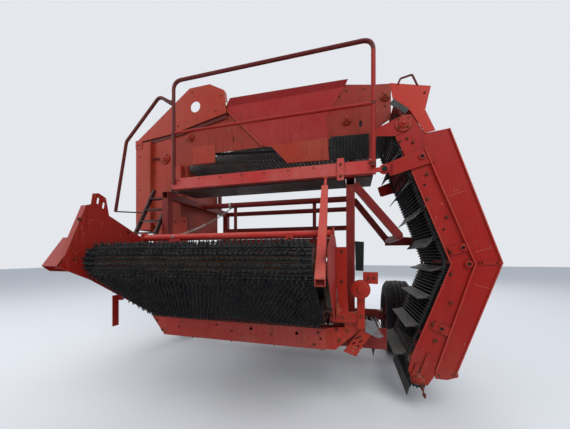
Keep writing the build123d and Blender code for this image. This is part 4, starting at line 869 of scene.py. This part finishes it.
# height over the plate, x, z, radius, hole
BOSSES = [(8, 1270, 1961, 25, 14), (8, 1540, 1261, 24, 13), (8, 1402, 656, 24, 13), (9, 1579, 1141, 26, 13)]


def ribbon(forge, path, at, depth, width):
    """A narrow lip along a path on a plate; it grows inwards by its width."""
    for start, end in zip(path, path[1:]):
        start, end = Vector(start), Vector(end)
        side = (end - start).normalized().orthogonal() * width
        forge.slab("Y", at, depth, [start, end, end - side, start - side])


def boss(forge, dark, at, side, x, z, radius, hole):
    """A raised ring round a pin hole, with a dark disc inside as painted shade of the hole."""
    top = at + side * 9
    ring = [(at, radius), (at + side * 7, radius), (top, radius - 3), (top, hole), (at, hole)]
    forge.turned("Y", (x, z), ring, 28, True)
    dark.turned("Y", (x, z), [(at + side * 0.5, hole + 0.5), (at + side * 2, hole + 0.5)], 24)


lips, straps, hole_shade = Forge(), Forge(), Forge()
for face, side in SIDES:
    ribbon(lips, OUTER, face, side * 10, 7)
    ribbon(lips, SEAM, face, side * 16, 8)
    ribbon(lips, INNER, face - side * 6, side * 15, 7)
    for outline in STRAPS:
        straps.slab("Y", face, side * 8, outline)
    for height, x, z, radius, hole in BOSSES:
        boss(straps, hole_shade, face + side * height, side, x, z, radius, hole)
    for outline in TAKE_UP_BARS:
        straps.slab("Y", face, side * 10, outline)
boss(straps, hole_shade, ELEV_FACE - 10, -1, *HANGER, 40, 24)
# The hanger's hole gets a dark disc too, as painted shade.
hole_shade.turned("Y", HANGER, [(-1936.5, 21), (-1938, 21)], 20)
for x1, z1, x2, z2 in ((1452, 1642, 1557, 1679), (1620, 1225, 1718, 1258), (1616, 990, 1712, 962)):
    lips.tube([(x1, ELEV_FACE, z1), (x2, ELEV_FACE, z2)], 4, 6)
# Painted shade: thin dark sheets inside the elevator's front plate and the table, where their insides lie in
# shadow.
shade_sheets = Forge()
shade_sheets.slab("Y", ELEV_FRONT - 10.5, 2, [*INNER, *reversed(OUTER)])
table_end = [(-1440, 2250), (-1440, 2580), (-604, 2735), (600, 2735), (900, 2440), (850, 2230)]
shade_sheets.slab("Y", TABLE_FRONT - 12, 1.5, table_end)
shade_sheets.block((-1446, TABLE_REAR + 8, 2250), (-1443, TABLE_FRONT - 2, 2580))
for left, right, low, high in ((-540, -460, 2430, 2530), (800, 866, 2415, 2510)):
    shade_sheets.slab("Y", TABLE_REAR + 8, 2, [(left, low), (right, low), (right, high), (left, high)])
shade_sheets.piece("painted_shade_sheets", "web_rubber")
# The lips and thin bars wear the brighter tube red, not the plates' elevator red: a painted highlight on real
# folds.
lips.piece("elevator_lips_painted_highlight", "tube_red", smooth=40)
straps.piece("elevator_straps", "elevator_red", smooth=40)
hole_shade.piece("pin_hole_shade", "web_rubber")

# %% [markdown]
# ## Take-ups and strips
#
# Threaded rods with nuts tension the belts, and flat bars cross the elevator's head and foot bearings. Strips
# and small plates cover the joints between hopper, tower and hood.

# %% Take-up bars, threaded rods and edge strips
takeups = Forge()
for x1, z1, x2, z2 in ((1252, 330, 1262, 214), (1139, 2310, 1120, 2190)):
    start, end = Vector((x1, z1)), Vector((x2, z2))
    along = (end - start).normalized()
    across = Vector((-along.y, along.x)) * 16
    takeups.slab("Y", ELEV_FACE - 3, 4, [start + across, end + across, end - across, start - across])
for start, end in (
    ((1262, -1930, 226), (1290, -1930, 120)),
    ((-1440, -1572, 2352), (-1545, -1572, 2358)),
    ((1120, -1930, 2290), (1096, -1930, 2350)),
    ((-988, -2728, 1230), (-988, -2760, 1330)),
):
    takeups.tube([start, end], 6, 10)
    start, end = Vector(start), Vector(end)
    for share in (0.35, 0.8):
        takeups.bolt(start.lerp(end, share), end - start, 10)
takeups.piece("take_ups", "rail_dark")

strips = Forge()
strips.slab("Y", TABLE_REAR - 16, 6, [(-607, 2818), (-589, 2828), (-155, 2374), (-170, 2360)])
strips.slab("Y", TABLE_REAR - 5, 5, [(-1010, 2250), (-1010, 2450), (-720, 2450), (-720, 2352), (-728, 2250)])
strips.slab("Y", TABLE_REAR - 44, 4, [(-64, 2343), (519, 2349), (538, 2132), (118, 2142)])
strips.piece("edge_strips", "tower_brown")

closing = Forge()
tower_strip = [(-1780, 2520), (-1780, 2585), (-1180, 2690), (-577, 2785), (-577, 2715), (-1180, 2600)]
closing.slab("Y", TABLE_REAR - 14, 3, tower_strip)
closing.slab("Y", TABLE_REAR + 6, 3, [(-605, 2700), (-605, 2800), (-545, 2800), (-520, 2740)])
closing.slab("Y", TABLE_REAR + 8, 2, [(560, 2720), (600, 2860), (680, 2850), (680, 2720)])
closing.piece("hood_closing_strip", "rail_dark")

# %% [markdown]
# ## The chain
#
# A chain from the upper cross tube holds the rear cross tube. Its links stand crosswise to each other and
# follow a shallow sag.

# %% Chain
LINKS, SAG = 44, 140
LINK_HALF_LENGTH, LINK_HALF_WIDTH, LINK_WIRE_R = 16, 9, 2.8
chain = Forge()
low_end = Vector((-640, BRACKET_FACE + 2, REAR_TUBE[1]))
high_end = Vector((-697, UPPER_TUBE[0], UPPER_TUBE[1] - 36))
run = high_end - low_end
along = run.normalized()
across = Vector((1, 0, 0)) - along * along.x
across.normalize()
other = along.cross(across)
for n in range(LINKS):
    share = (n + 0.5) / LINKS
    middle = low_end + run * share - Vector((0, 0, SAG * share * (1 - share)))
    flat = across if n % 2 else other
    normal = along.cross(flat)
    sections = []
    for angle in angles(14):
        point = middle + along * LINK_HALF_LENGTH * cos(angle) + flat * LINK_HALF_WIDTH * sin(angle)
        out = (along * cos(angle) + flat * sin(angle)).normalized()
        sections.append([point + LINK_WIRE_R * (out * cos(t) + normal * sin(t)) for t in angles(6)])
    chain.skin(sections, loop=True)
chain.bolt(low_end - Vector((0, 2, 0)), BACKWARDS, 10)
chain.turned("X", UPPER_TUBE, [(-712, 36), (-712, 32.5), (-682, 32.5), (-682, 36)], 32, True)
chain.piece("chain", "bare_steel", smooth=60)

# %% [markdown]
# ## Rounded edges and welds
#
# Rolled and bent steel has no knife edges, so every frame node gets a fine bevel. Weld beads run where
# posts, tubes and brackets meet.

# %% Edges and welds
for node in frame["nodes"].values():
    rounding = node.modifiers.new("rounded", "BEVEL")
    rounding.width = 0.0015
    rounding.segments = 1
    rounding.limit_method = "ANGLE"
    rounding.angle_limit = radians(40)

welds = Forge()


def bead(points, size=4.0):
    """A weld bead with its ripples along straight runs."""
    for start, end in zip(points, points[1:]):
        start, end = Vector(start), Vector(end)
        count = max(2, round((end - start).length / 7))
        ripple = [start.lerp(end, k / count) for k in range(count + 1)]
        side = (end - start).orthogonal().normalized()
        other = (end - start).normalized().cross(side)
        rings = []
        for k, point in enumerate(ripple):
            reach = size * (1.0 if k % 2 else 0.72)
            rings.append([point + reach * (side * cos(t) + other * sin(t)) for t in angles(6)])
        welds.skin(rings)


POST_HALF, POST_TOP = 35, 1787
for x in (-1093, 741):
    for y in (-1860, -608):
        square = [(x + dx * POST_HALF, y + dy * POST_HALF, POST_TOP) for dx, dy in CORNERS]
        bead([*square, square[0]])
# plane, (x, z) of the start and of the end
for plane, start, end in (
    (CORNER_FACE - 1, (594, 706), (789, 706)),
    (CORNER_FACE - 1, (789, 706), (789, 784)),
    (EDGE_FACE + 2, (640, 1861), (686, 1861)),
    (BRACKET_FACE - 1, (-676, 1256), (-580, 1256)),
    (BRACKET_FACE - 1, (-676, 1346), (-580, 1346)),
    (BRACKET_FACE - 1, (300, 1292), (356, 1292)),
    (TOWER_BRACKET + 5, (-1034, 1310), (-1034, 1636)),
    (TOWER_BRACKET + 5, (-1255, 1310), (-1255, 1636)),
):
    bead([spot("Y", plane, *start), spot("Y", plane, *end)])
welds.piece("welds", "frame_red", smooth=60)

# %% [markdown]
# ## Floor and light
#
# A pale floor and sky and three large soft lights, a key, a weak fill and one from ahead, stand for a thin
# overcast: shadows are soft, and colours come out as they are written.

# %% Studio
FLOOR_PALE = (0.86, 0.87, 0.89)


def stage_floor():
    """A large plain floor that is not part of the machine."""
    bpy.ops.mesh.primitive_plane_add(size=60, location=(0, 0, 0))
    floor = bpy.context.object
    floor.name = "floor"
    bench = Bench("floor_pale")
    floor.data.materials.append(bench.finish((*FLOOR_PALE, 1.0), 0.9))


def sky():
    """A pale backdrop for camera, reflection and glass rays, and a weaker bluish light for all others."""
    world = bpy.data.worlds.new("overcast")
    scene.world = world
    world.use_nodes = True
    tree = world.node_tree
    tree.nodes.clear()
    paths = tree.nodes.new("ShaderNodeLightPath")
    seen = tree.nodes.new("ShaderNodeMath")
    seen.operation = "MAXIMUM"
    also = tree.nodes.new("ShaderNodeMath")
    also.operation = "MAXIMUM"
    tree.links.new(paths.outputs["Is Camera Ray"], seen.inputs[0])
    tree.links.new(paths.outputs["Is Glossy Ray"], seen.inputs[1])
    tree.links.new(seen.outputs[0], also.inputs[0])
    tree.links.new(paths.outputs["Is Transmission Ray"], also.inputs[1])
    light = tree.nodes.new("ShaderNodeBackground")
    light.inputs["Color"].default_value = (0.80, 0.86, 0.95, 1)
    light.inputs["Strength"].default_value = 0.55
    backdrop = tree.nodes.new("ShaderNodeBackground")
    backdrop.inputs["Color"].default_value = (0.78, 0.80, 0.84, 1)
    choice = tree.nodes.new("ShaderNodeMixShader")
    tree.links.new(also.outputs[0], choice.inputs[0])
    tree.links.new(light.outputs[0], choice.inputs[1])
    tree.links.new(backdrop.outputs[0], choice.inputs[2])
    end = tree.nodes.new("ShaderNodeOutputWorld")
    tree.links.new(choice.outputs[0], end.inputs[0])


def lamp(name, place, aim, size, watts):
    """A square area light that looks at a point."""
    light = bpy.data.lights.new(name, "AREA")
    light.size = size
    light.energy = watts
    holder = bpy.data.objects.new(name, light)
    holder.location = place
    holder.rotation_euler = (Vector(aim) - Vector(place)).to_track_quat("-Z", "Y").to_euler()
    scene.collection.objects.link(holder)


stage_floor()
sky()
lamp("key", (4.5, -7.5, 8.5), (0, -1.5, 1.2), 6.0, 500)
lamp("fill", (-6.5, -5.0, 5.0), (0, -1.0, 1.2), 6.0, 170)
lamp("front", (0.0, 8.0, 7.0), (0, 0, 1.0), 6.0, 300)

scene.view_settings.view_transform = "Standard"
